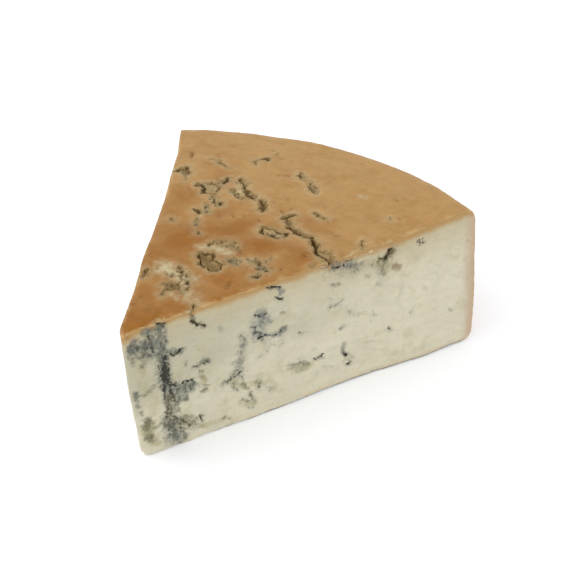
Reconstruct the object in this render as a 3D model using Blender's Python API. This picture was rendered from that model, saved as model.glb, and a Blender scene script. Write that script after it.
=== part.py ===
"""A wedge of blue cheese: a sixth of a flat wheel, with its rind on the top, the rim and the base.

The wheel's axis is the Z axis while the wedge is shaped, and the wedge opens towards +Y. A point of
the top is (x, y), and a point of a cut face is (along, up): the distance from the wheel's axis and the
height. Sizes are in metres. The tables of marks, chips and swells are in millimetres, and MM turns
them into metres.
"""

import math
import random

import bmesh
import bpy
import numpy as np
from mathutils import Vector, noise

MM = 0.001

# The wheel and its cut
WHEEL_RADIUS = 0.125
WHEEL_HEIGHT = 0.0529
WEDGE_ANGLE = math.radians(60)
TOP_SHOULDER = 0.0050
BOTTOM_SHOULDER = 0.0050
SIDE_BULGE = 0.0002
TIP_ROUNDING = 0.0015

# How the soft paste has leaned and sunk since it was cut
TIP_FOOT = (-0.0009, -0.0003)
TIP_PUSH = 0.0021
TIP_BULGE = 0.00065
TIP_REACH = 0.028
TIP_TUCK = 0.0012
TIP_TUCK_RISE = 0.0035
RIM_FOOT_SPREAD = 0.0040
LEFT_FOOT_SPREAD = 0.0015
SPREAD_EASE = 2
LEFT_HOLLOW = 0.0012
LEFT_HOLLOW_START = 0.045
LEFT_HOLLOW_EASE = 5
TIP_DROOP = 0.0011
TIP_DROOP_REACH = 0.0050
TIP_DROOP_EASE = 3
RIM_LIP = 0.00185
RIM_LIP_START = 0.060
ARRIS_SOFTNESS = 0.0005
ARRIS_REACH = 0.0012

# How far the foot of the right cut stands out, as (along, outwards) in millimetres
RIGHT_FOOT_LINE = [(0, 0), (20, 0.4), (45, 0), (85, -0.8), (105, 0.4), (125, 0)]

# The slow waves of the cuts and of the rind, each (size, height, seed), and how far they reach inwards
WAVES = [(0.021, 0.0006, 3.0), (0.009, 0.00022, 4.0)]
WAVE_REACH = 0.020

# The grid of the wedge's skin
RADIAL_STEPS = 38
TIP_STEPS = 3
SHOULDER_STEPS = 5
SIDE_STEPS = 9
FOOT_STEPS = 3
BASE_RING = 0.0022
FLAT_BASE = 0.00001

# The marks are laid out on a level top, LAYOUT_HEIGHT up, and on an upright right cut. Where the top
# rises above that, they drift back with it, by these shares of the rise: across, back, and the share
# that back grows by per metre. Where the cut leans, they slide along it and sink down it by these
# amounts at the foot, at the tip and at the rim, and by these shares of what pushes the tip out.
LAYOUT_HEIGHT = 0.0520
RISE_DRIFT = (-0.87, 0.70, 7.5)
CUT_SLIDE = (0.0018, 0.0002)
CUT_SINK = (0.0021, 0.0)
PUSH_SLIDE = 0.75
PUSH_SINK = 0.45
LIP_LIFT = 0.8

# A mark fades out over MARK_FADE below its face, and its outline is ragged
MARK_FADE = 0.0075
RAGGED_SIZE = 0.0030
RAGGED_REACH = 0.0007
# Edges longer than LONG_EDGE are split close to a mark, above the foot of the wedge
LONG_EDGE = 0.0018
MARK_MARGIN = 0.0005
SKIN_DEPTH = 0.0013
SPLIT_PASSES = 2
LOWEST_SPLIT = 0.0010
# A chip spreads over this many times its bite, and takes this much off outwards and downwards
CHIP_SPREAD = 2.2
CHIP_OUT = 0.6
CHIP_DOWN = 0.8

HALF = WEDGE_ANGLE / 2
TIP_CENTRE = TIP_ROUNDING / math.sin(HALF)
RIGHT_ALONG = np.array((math.sin(HALF), math.cos(HALF)))
RIGHT_OUT = np.array((math.cos(HALF), -math.sin(HALF)))
LEFT_ALONG = RIGHT_ALONG * (-1, 1)
LEFT_OUT = RIGHT_OUT * (-1, 1)

# Each mark is (route, width, depth): where the mould has opened a crack or a pit
TOP_MARKS = [
    ([(14, 70.5), (21, 69.5), (25, 65), (29, 61.5), (37, 60)], 1.7, 1.7),
    ([(-22, 89), (-16, 85), (-12, 81), (-7, 81.5)], 1.9, 1.5),
    ([(-18, 81), (-14, 79.5)], 2.6, 0.9),
    ([(-4, 43), (0, 42), (4, 39.5)], 3.2, 2.0),
    ([(-5, 50.5), (0, 53.5)], 2.6, 1.1),
    ([(-3, 24.5), (-2, 22)], 2.8, 1.4),
    ([(5, 65.5), (12, 66.5)], 2.8, 1.3),
    ([(7, 75.5), (9, 78.5)], 1.2, 1.3),
    ([(10, 73), (11, 71.5)], 1.9, 0.8),
    ([(-4, 79.5), (-2.5, 76.5)], 2.3, 1.1),
    ([(-43, 84), (-40, 82)], 2.7, 1.2),
    ([(-32, 78.5), (-27, 76.5)], 2.1, 1.3),
    ([(-30, 81.5), (-25, 86.5)], 1.4, 1.0),
    ([(-21, 74), (-18, 71.5)], 2.0, 0.9),
    ([(-22, 67), (-20, 64)], 1.8, 0.9),
    ([(-21, 58), (-17, 58.5)], 2.1, 0.9),
    ([(4, 97), (7, 94.5)], 2.4, 0.9),
    ([(-23.5, 102), (-21, 106), (-18, 110)], 1.3, 0.7),
    ([(8, 47), (13, 49), (18, 47)], 1.7, 0.8),
    ([(18, 43), (18.5, 41.5)], 1.3, 0.8),
    ([(-6, 33), (-2, 30)], 1.8, 0.8),
    ([(-14.5, 28), (-12.5, 25)], 1.7, 1.1),
    ([(38, 74), (39.5, 70.5)], 1.3, 0.9),
    ([(9, 20.5), (12, 18)], 1.3, 1.1),
    ([(14.5, 82.5), (19, 81)], 1.2, 0.7),
]
RIGHT_MARKS = [
    ([(11.5, 53), (10.5, 45), (10.5, 38), (8.5, 33)], 2.0, 0.7),
    ([(9, 31), (10.5, 26), (11, 20)], 1.7, 0.9),
    ([(9, 16), (10.5, 10)], 1.6, 0.5),
    ([(11, 23), (18, 24.5)], 1.7, 0.9),
    ([(12, 39.5), (16.5, 38)], 1.2, 0.8),
    ([(3, 44), (8, 43)], 2.2, 0.6),
    ([(9, 7), (13, 5.5)], 2.6, 0.7),
    ([(20.5, 52), (21.5, 47), (25, 45.5)], 1.2, 1.0),
    ([(42, 40), (43, 36)], 2.2, 0.8),
    ([(42, 33), (47, 31), (51, 33)], 1.2, 0.9),
    ([(50.5, 47), (50.5, 45)], 1.3, 1.0),
    ([(35, 21), (30, 18)], 1.4, 0.8),
    ([(20.5, 29.5), (23.5, 30)], 1.2, 0.8),
    ([(70, 51), (80, 50)], 1.7, 1.1),
    ([(91, 49), (88, 44)], 3.3, 1.9),
    ([(93, 42)], 1.8, 0.8),
    ([(73, 12), (73.8, 7)], 1.6, 1.1),
    ([(103.5, 48.5)], 1.3, 0.7),
]
# Each chip is (along, length, bite): rind broken off the upper arris of the right cut
CHIPS = [(12, 5, 1.7), (21, 2.2, 1.2), (66, 2.5, 0.6), (76, 4.5, 0.9), (91, 2.6, 1.2)]
# Each swell is (x, y, radius, rise): the gentle rise and fall of the top
SWELLS = [
    (8, 33, 13, -0.4),
    (-8, 55, 18, -0.5),
    (30, 57, 9, 0.4),
    (47, 86, 14, -0.7),
    (-34, 80, 16, 0.3),
    (-12, 120, 30, -0.3),
    (52, 108, 20, 0.5),
]
# The left cut and the rim have marks like those above, spread between two corners by a seeded draw
LEFT_DRAW = {"count": 15, "low": (12, 6), "high": (108, 46), "seed": 7}
RIM_DRAW = {"count": 12, "low": (-56, 9), "high": (52, 42), "seed": 8}
DRAWN_TURN = (-0.9, 0.9)
DRAWN_LENGTH = (1, 6)
DRAWN_WIDTH = (1.0, 2.2)
DRAWN_DEPTH = (0.4, 1.1)
# A fold sharper than this keeps a crisp edge
SHARP_FOLD = math.radians(40)


def fading(share):
    """A smooth fall from 1 at 0 to 0 at 1 and beyond."""
    share = np.clip(share, 0, 1)
    return 1 - share * share * (3 - 2 * share)


def smooth_noise(points, size, seed=0.0):
    """Smooth noise from -1 to 1 at each point, with lumps of the given size."""
    shift = Vector((seed * 17.3, seed * 5.1, seed * 9.7))
    return np.array([noise.noise(Vector(p) / size + shift) for p in points])


def tip_distance(angle):
    """How far the rounded tip lies from the wheel's axis, in the direction of angle."""
    beside = TIP_CENTRE * math.sin(angle)
    return TIP_CENTRE * math.cos(angle) - math.sqrt(max(TIP_ROUNDING**2 - beside**2, 0))


def rim_profile():
    """The wheel's rim in section, as (radius, height), from the top's edge to the base's edge."""
    points = []
    top_centre = WHEEL_RADIUS - TOP_SHOULDER, WHEEL_HEIGHT - TOP_SHOULDER
    for step in range(SHOULDER_STEPS):
        turn = math.pi / 2 * (1 - step / SHOULDER_STEPS)
        reach, rise = TOP_SHOULDER * math.cos(turn), TOP_SHOULDER * math.sin(turn)
        points.append((top_centre[0] + reach, top_centre[1] + rise))
    for step in range(SIDE_STEPS):
        share = step / SIDE_STEPS
        height = top_centre[1] * (1 - share) + BOTTOM_SHOULDER * share
        points.append((WHEEL_RADIUS + SIDE_BULGE * math.sin(math.pi * share), height))
    for step in range(FOOT_STEPS + 1):
        turn = math.pi / 2 * step / FOOT_STEPS
        reach, rise = BOTTOM_SHOULDER * math.cos(turn), BOTTOM_SHOULDER * (1 - math.sin(turn))
        points.append((WHEEL_RADIUS - BOTTOM_SHOULDER + reach, rise))
    return points


def skin_mesh():
    """The wedge before it leans or is marked: top, rim, tip and cut faces on one grid, and a flat base."""
    profile = rim_profile()
    last_row = len(profile) - 1
    shape = bmesh.new()
    made = {}

    def vertex(step, column, row):
        key = (step, column, row)
        if key not in made:
            angle = -HALF + WEDGE_ANGLE * column / (TIP_STEPS + step)
            start = tip_distance(angle)
            radius, height = profile[row]
            reach = start + (radius - start) * step / RADIAL_STEPS
            made[key] = shape.verts.new((reach * math.sin(angle), reach * math.cos(angle), height))
        return made[key]

    for step in range(RADIAL_STEPS):
        for column in range(TIP_STEPS + step + 1):
            outer = vertex(step + 1, column, 0), vertex(step + 1, column + 1, 0)
            shape.faces.new((vertex(step, column, 0), *outer))
            if column < TIP_STEPS + step:
                shape.faces.new((vertex(step, column, 0), outer[1], vertex(step, column + 1, 0)))
    outline = [(0, column) for column in range(TIP_STEPS)]
    outline += [(step, TIP_STEPS + step) for step in range(RADIAL_STEPS)]
    outline += [(RADIAL_STEPS, column) for column in range(TIP_STEPS + RADIAL_STEPS, 0, -1)]
    outline += [(step, 0) for step in range(RADIAL_STEPS, 0, -1)]
    for row in range(last_row):
        for here, following in zip(outline, outline[1:] + outline[:1]):
            corners = (*here, row), (*following, row), (*following, row + 1), (*here, row + 1)
            shape.faces.new([vertex(*corner) for corner in corners])
    base = shape.faces.new([vertex(*place, last_row) for place in outline])
    bmesh.ops.recalc_face_normals(shape, faces=shape.faces)
    bmesh.ops.inset_region(shape, faces=[base], thickness=BASE_RING, use_even_offset=True)
    return shape


def route_distance(points, route):
    """Each point's distance to a route of one or more points, all in metres."""
    route = np.array(route, float) * MM
    if len(route) == 1:
        return np.linalg.norm(points - route[0], axis=1)
    best = np.full(len(points), np.inf)
    for start, end in zip(route[:-1], route[1:]):
        span = end - start
        share = np.clip((points - start) @ span / (span @ span), 0, 1)
        best = np.minimum(best, np.linalg.norm(points - start - share[:, None] * span, axis=1))
    return best


def mark_depth(points, marks):
    """How deep the marks of one face cut at each of its points."""
    lifted = [(p[0], p[1], 0.0) for p in points]
    ragged = np.stack([smooth_noise(lifted, RAGGED_SIZE, seed) for seed in (1.0, 2.0)], axis=1) * RAGGED_REACH
    depth = np.zeros(len(points))
    for route, width, deepest in marks:
        distance = route_distance(points + ragged, route)
        depth = np.maximum(depth, deepest * MM * fading(distance / (width * MM)))
    return depth


def drawn_marks(count, low, high, seed):
    """Short marks spread over a face between two corners, by a seeded draw."""
    draw = random.Random(seed)
    marks = []
    for _ in range(count):
        x, y = draw.uniform(low[0], high[0]), draw.uniform(low[1], high[1])
        turn, length = draw.uniform(*DRAWN_TURN), draw.uniform(*DRAWN_LENGTH)
        end = x + length * math.cos(turn), y + length * math.sin(turn)
        marks.append(([(x, y), end], draw.uniform(*DRAWN_WIDTH), draw.uniform(*DRAWN_DEPTH)))
    return marks


LEFT_MARKS = drawn_marks(**LEFT_DRAW)
RIM_MARKS = drawn_marks(**RIM_DRAW)


def tip_push(foot, radius):
    """How far the tip has been pushed out: most of it half-way up, and tucked in at the very foot."""
    above = (1 - foot) * WHEEL_HEIGHT
    push = TIP_PUSH + TIP_BULGE * np.sin(math.pi * foot) - TIP_TUCK * fading(above / TIP_TUCK_RISE)
    return push * fading(radius / TIP_REACH)


def rim_lip(plan):
    """How far the top rises towards the rim."""
    outwards = (np.linalg.norm(plan, axis=1) - RIM_LIP_START) / (WHEEL_RADIUS - RIM_LIP_START)
    return RIM_LIP * (1 - fading(outwards))


def top_rise(plan):
    """How far the top stands above the wheel's height: its lip and its swells."""
    rise = rim_lip(plan)
    for x, y, reach, most in SWELLS:
        gap = np.linalg.norm(plan - np.array((x, y)) * MM, axis=1)
        rise = rise + most * MM * np.exp(-((gap / (reach * MM)) ** 2))
    return rise


def top_layout(plan):
    """Where points of the top lie in the layout of its marks."""
    rise = WHEEL_HEIGHT - LAYOUT_HEIGHT + top_rise(plan)
    across, back, growth = RISE_DRIFT
    drift = rise[:, None] * np.column_stack([np.full(len(plan), across), back + growth * plan[:, 1]])
    drift[:, 1] -= tip_push(np.zeros(len(plan)), np.linalg.norm(plan, axis=1))
    return plan + drift


def right_layout(plan, height):
    """Where points of the right cut lie in the layout of its marks."""
    along = plan @ RIGHT_ALONG
    foot = np.clip(1 - height / WHEEL_HEIGHT, 0, 1)
    outwards = np.clip(along / WHEEL_RADIUS, 0, 1)
    push = tip_push(foot, np.linalg.norm(plan, axis=1))
    slide = foot * (CUT_SLIDE[0] * (1 - outwards) + CUT_SLIDE[1] * outwards) + PUSH_SLIDE * push
    sink = foot * (CUT_SINK[0] * (1 - outwards) + CUT_SINK[1] * outwards) + PUSH_SINK * push
    return np.stack([along - slide, height - sink + LIP_LIFT * rim_lip(plan) * (1 - foot)], axis=1)


def faces_of(points):
    """For each marked face: its own 2-D coordinates, how far inside the face each point is, and its marks."""
    plan, height = points[:, :2], points[:, 2]
    radius = np.linalg.norm(plan, axis=1)
    round_rim = np.arctan2(plan[:, 0], plan[:, 1]) * WHEEL_RADIUS
    return {
        "top": (top_layout(plan), WHEEL_HEIGHT - height, TOP_MARKS),
        "right": (right_layout(plan, height), -(plan @ RIGHT_OUT), RIGHT_MARKS),
        "left": (np.stack([plan @ LEFT_ALONG, height], axis=1), -(plan @ LEFT_OUT), LEFT_MARKS),
        "rim": (np.stack([round_rim, height], axis=1), WHEEL_RADIUS - radius, RIM_MARKS),
    }


def refine_near_marks(shape):
    """Splits the skin's edges where a mark will need them, so that the rest can stay coarse."""
    base = max(shape.faces, key=lambda face: len(face.verts))
    bmesh.ops.triangulate(shape, faces=[face for face in shape.faces if face != base])
    for _ in range(SPLIT_PASSES):
        edges = [edge for edge in shape.edges if edge.calc_length() > LONG_EDGE]
        middles = np.array([(edge.verts[0].co + edge.verts[1].co) / 2 for edge in edges])
        near = np.zeros(len(edges), bool)
        for flat, inside, marks in faces_of(middles).values():
            on_face = (inside < SKIN_DEPTH) & (middles[:, 2] > LOWEST_SPLIT)
            for route, width, _depth in marks:
                near |= on_face & (route_distance(flat, route) < width * MM + MARK_MARGIN)
        chosen = [edge for edge, wanted in zip(edges, near) if wanted]
        bmesh.ops.subdivide_edges(shape, edges=chosen, cuts=1)
        bmesh.ops.triangulate(shape, faces=[face for face in shape.faces if face != base])


def lean(points):
    """The wedge leans and spreads at its foot, and its tip droops."""
    plan, height = points[:, :2].copy(), points[:, 2].copy()
    foot = np.clip(1 - height / WHEEL_HEIGHT, 0, 1)
    radius = np.linalg.norm(plan, axis=1)
    outwards = np.clip(radius / WHEEL_RADIUS, 0, 1)
    turned = np.arctan2(plan[:, 0], np.maximum(plan[:, 1], 1e-6)) / HALF
    right, left = np.clip((1 + turned) / 2, 0, 1), np.clip((1 - turned) / 2, 0, 1)
    moved = plan + (foot * (1 - outwards))[:, None] * np.array(TIP_FOOT)
    foot_along, foot_out = zip(*RIGHT_FOOT_LINE)
    foot_line = np.interp(plan @ RIGHT_ALONG / MM, foot_along, foot_out) * MM
    spread = (foot * outwards * RIM_FOOT_SPREAD + foot**2 * foot_line) * right**SPREAD_EASE
    moved += spread[:, None] * RIGHT_OUT
    moved += (foot * outwards * left**SPREAD_EASE * LEFT_FOOT_SPREAD)[:, None] * LEFT_OUT
    moved[:, 1] -= tip_push(foot, radius)
    beyond = np.clip((radius - LEFT_HOLLOW_START) / (WHEEL_RADIUS - LEFT_HOLLOW_START), 0, 1)
    moved -= (LEFT_HOLLOW * np.sin(math.pi * beyond) * left**LEFT_HOLLOW_EASE)[:, None] * LEFT_OUT
    upper = np.clip(height / WHEEL_HEIGHT, 0, 1) ** TIP_DROOP_EASE
    height -= TIP_DROOP * upper * fading(radius / TIP_DROOP_REACH)
    return np.column_stack([moved, height])


def near_face(inside, reach):
    """1 on a face, falling to 0 at the given reach inside it."""
    return fading(np.maximum(inside, 0) / reach)


def marked(points):
    """The skin's points once the marks are cut into the faces."""
    moved = points.copy()
    faces = faces_of(points)
    radius = np.maximum(np.linalg.norm(points[:, :2], axis=1), MM)
    from_axis = np.column_stack([points[:, :2] / radius[:, None], np.zeros(len(points))])
    outwards = {"top": (0, 0, 1), "right": (*RIGHT_OUT, 0), "left": (*LEFT_OUT, 0), "rim": from_axis}
    for name, out in outwards.items():
        flat, inside, marks = faces[name]
        depth = mark_depth(flat, marks) * near_face(inside, MARK_FADE)
        moved -= depth[:, None] * np.array(out)
    return moved


def worn(points, start):
    """The points once the top has risen and sunk, and its arrises are chipped and soft."""
    moved = points.copy()
    plan = start[:, :2]
    under_top = WHEEL_HEIGHT - start[:, 2]
    in_right, in_left = -(plan @ RIGHT_OUT), -(plan @ LEFT_OUT)
    moved[:, 2] += top_rise(plan) * near_face(under_top, WHEEL_HEIGHT)
    for along, length, bite in CHIPS:
        spread = CHIP_SPREAD * bite * MM
        taken = fading(np.abs(plan @ RIGHT_ALONG - along * MM) / (length * MM))
        taken *= near_face(under_top, spread) * near_face(in_right, spread) * bite * MM
        moved -= taken[:, None] * np.array((*RIGHT_OUT * CHIP_OUT, CHIP_DOWN))
    for inside in (in_right, in_left):
        moved[:, 2] -= ARRIS_SOFTNESS * near_face(inside, ARRIS_REACH) * near_face(under_top, ARRIS_REACH)
    return moved


def uneven(points):
    """The slow waves of a knife cut and of a hand-rubbed rind."""
    waves = sum(smooth_noise(points, size, seed) * height for size, height, seed in WAVES)
    plan = points[:, :2]
    near_right = near_face(-(plan @ RIGHT_OUT), WAVE_REACH)
    near_left = near_face(-(plan @ LEFT_OUT), WAVE_REACH)
    near_top = near_face(WHEEL_HEIGHT - points[:, 2], WAVE_REACH)
    moved = points.copy()
    moved[:, :2] += (waves * near_right)[:, None] * RIGHT_OUT + (waves * near_left)[:, None] * LEFT_OUT
    moved[:, 2] += waves * near_top
    return moved


def cheese_material():
    """Ivory paste, as one plain finish for the whole wedge."""
    finish = bpy.data.materials.new("blue_cheese")
    finish.use_nodes = True
    shader = finish.node_tree.nodes["Principled BSDF"]
    shader.inputs["Base Color"].default_value = (0.55, 0.45, 0.29, 1)
    shader.inputs["Roughness"].default_value = 0.5
    shader.inputs["Metallic"].default_value = 0
    return finish


def cheese_wedge():
    """The whole wedge as one closed object, resting on z = 0 with its base's middle at the origin."""
    shape = skin_mesh()
    refine_near_marks(shape)
    points = np.array([v.co for v in shape.verts])
    plain = uneven(points)
    shaped = lean(worn(marked(plain), plain))
    shaped[:, 2] = np.where(points[:, 2] < FLAT_BASE, 0, np.maximum(shaped[:, 2], 0))
    for v, place in zip(shape.verts, shaped):
        v.co = place
    low = [min(v.co[axis] for v in shape.verts) for axis in range(3)]
    high = [max(v.co[axis] for v in shape.verts) for axis in range(3)]
    middle = Vector(((low[0] + high[0]) / 2, (low[1] + high[1]) / 2, low[2]))
    bmesh.ops.translate(shape, verts=shape.verts, vec=-middle)
    bmesh.ops.recalc_face_normals(shape, faces=shape.faces)
    mesh = bpy.data.meshes.new("cheese_wedge")
    shape.to_mesh(mesh)
    shape.free()
    mesh.shade_smooth()
    mesh.set_sharp_from_angle(angle=SHARP_FOLD)
    mesh.materials.append(cheese_material())
    wedge = bpy.data.objects.new("cheese_wedge", mesh)
    bpy.context.scene.collection.objects.link(wedge)
    return wedge


for old in list(bpy.data.objects):
    bpy.data.objects.remove(old)
cheese_wedge()
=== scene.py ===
import math
import random

import bmesh
import bpy
import numpy as np
from mathutils import Matrix, Vector, noise


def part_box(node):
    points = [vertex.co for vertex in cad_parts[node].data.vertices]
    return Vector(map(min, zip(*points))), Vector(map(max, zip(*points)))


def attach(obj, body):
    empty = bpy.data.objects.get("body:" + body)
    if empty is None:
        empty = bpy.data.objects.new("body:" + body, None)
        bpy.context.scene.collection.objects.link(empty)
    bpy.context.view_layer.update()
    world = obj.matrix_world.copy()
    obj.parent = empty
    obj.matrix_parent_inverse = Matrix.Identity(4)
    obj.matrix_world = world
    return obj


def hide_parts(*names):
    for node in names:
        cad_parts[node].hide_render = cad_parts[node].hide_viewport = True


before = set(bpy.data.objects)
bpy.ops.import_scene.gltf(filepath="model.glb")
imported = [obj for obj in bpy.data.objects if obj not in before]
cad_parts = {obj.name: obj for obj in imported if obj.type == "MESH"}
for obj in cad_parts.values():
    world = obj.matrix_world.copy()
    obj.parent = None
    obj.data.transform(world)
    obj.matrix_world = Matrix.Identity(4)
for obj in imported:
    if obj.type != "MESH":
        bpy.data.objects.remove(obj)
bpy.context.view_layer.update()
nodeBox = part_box("cheese_wedge")
print("frame loaded")

mm = 0.001

# the wedge's form, in metres
wheel = {
    "radius": 0.125,
    "height": 0.0529,
    "angle": math.radians(60),
    "topShoulder": 0.0050,
    "bottomShoulder": 0.0050,
    "sideBulge": 0.0002,
    "tipRounding": 0.0015,
    "tipFoot": (-0.0009, -0.0003),  # where the tip's foot stands, seen from its top
    "tipPush": 0.0021,  # the blunt tip's swell
    "tipBulge": 0.00065,
    "tipReach": 0.028,
    "tipTuck": 0.0012,  # the tip draws in again at its foot
    "tipTuckRise": 0.0035,
    "rimFootSpread": 0.0040,  # how far each cut's foot stands out at the rim
    "leftFootSpread": 0.0015,
    "spreadEase": 2,
    "tipDroop": 0.0011,
    "tipDroopReach": 0.0050,
    "tipDroopEase": 3,
    "rimLip": 0.00185,  # the top rises to the rim
    "rimLipStart": 0.060,
    "arrisSoftness": 0.0005,
    "arrisReach": 0.0012,
    "leftHollow": 0.0012,
    "leftHollowStart": 0.045,
    "leftHollowEase": 5,
    "footLine": [(0, 0), (20, 0.4), (45, 0), (85, -0.8), (105, 0.4), (125, 0)],  # millimetres
    "waves": [(0.021, 0.0006, 3.0), (0.009, 0.00022, 4.0)],  # size, height and seed
    "waveReach": 0.020,
    "roughness": [(0.0011, 0.00006, 14.0), (0.0028, 0.00012, 15.0)],
    "chipSpread": 2.2,
    "chipOut": 0.6,
    "chipDown": 0.8,
    "footGap": 0.00045,
    "footGapReach": 0.0006,
    "footGapDrift": [(0.006, 1.6, 17.0)],
    "footGapShares": (0.25, 2),
}
# The marks are laid out on a level top and an upright cut, and follow the top where it rises
# and the cut where it leans
layout = {
    "height": 0.0520,
    "riseDrift": (-0.87, 0.70, 7.5),  # across, back, and how much more of it towards the rim
    "cutSlide": (0.0018, 0.0002),  # at the tip and at the rim
    "cutSink": (0.0021, 0.0),
    "pushSlide": 0.75,
    "pushSink": 0.45,
    "lipLift": 0.8,
}
# the mesh before the marks cut into it; marks get edges no longer than these
skin = {
    "radialSteps": 150,
    "tipSteps": 4,
    "shoulderSteps": 9,
    "sideSteps": 50,
    "footSteps": 7,
    "baseRing": 0.0022,
    "markEdge": 0.0006,
    "crackEdge": 0.00034,
    "markMargin": 0.6,  # millimetres beyond a mark's width
    "crackMargin": 0.4,
    "markBand": 0.0013,
    "floorMargin": 0.00001,
    "sharpAngle": math.radians(60),
    "fieldMost": 1.3,
}
wheelHeight = wheel["height"]
wheelRadius = wheel["radius"]
half = wheel["angle"] / 2
tipCentre = wheel["tipRounding"] / math.sin(half)
rightAlong = np.array((math.sin(half), math.cos(half)))
rightOut = np.array((math.cos(half), -math.sin(half)))
leftAlong = rightAlong * (-1, 1)
leftOut = rightOut * (-1, 1)
# rises and dips of the top: x, y, reach and height in millimetres
swells = [
    (8, 33, 13, -0.4),
    (-8, 55, 18, -0.5),
    (30, 57, 9, 0.4),
    (47, 86, 14, -0.7),
    (-34, 80, 16, 0.3),
    (-12, 120, 30, -0.3),
    (52, 108, 20, 0.5),
]
# broken rind along the right arris: place, length and bite in millimetres
chips = [(12, 5, 1.7), (21, 2.2, 1.2), (66, 2.5, 0.6), (76, 4.5, 0.9), (91, 2.6, 1.2)]

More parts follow.
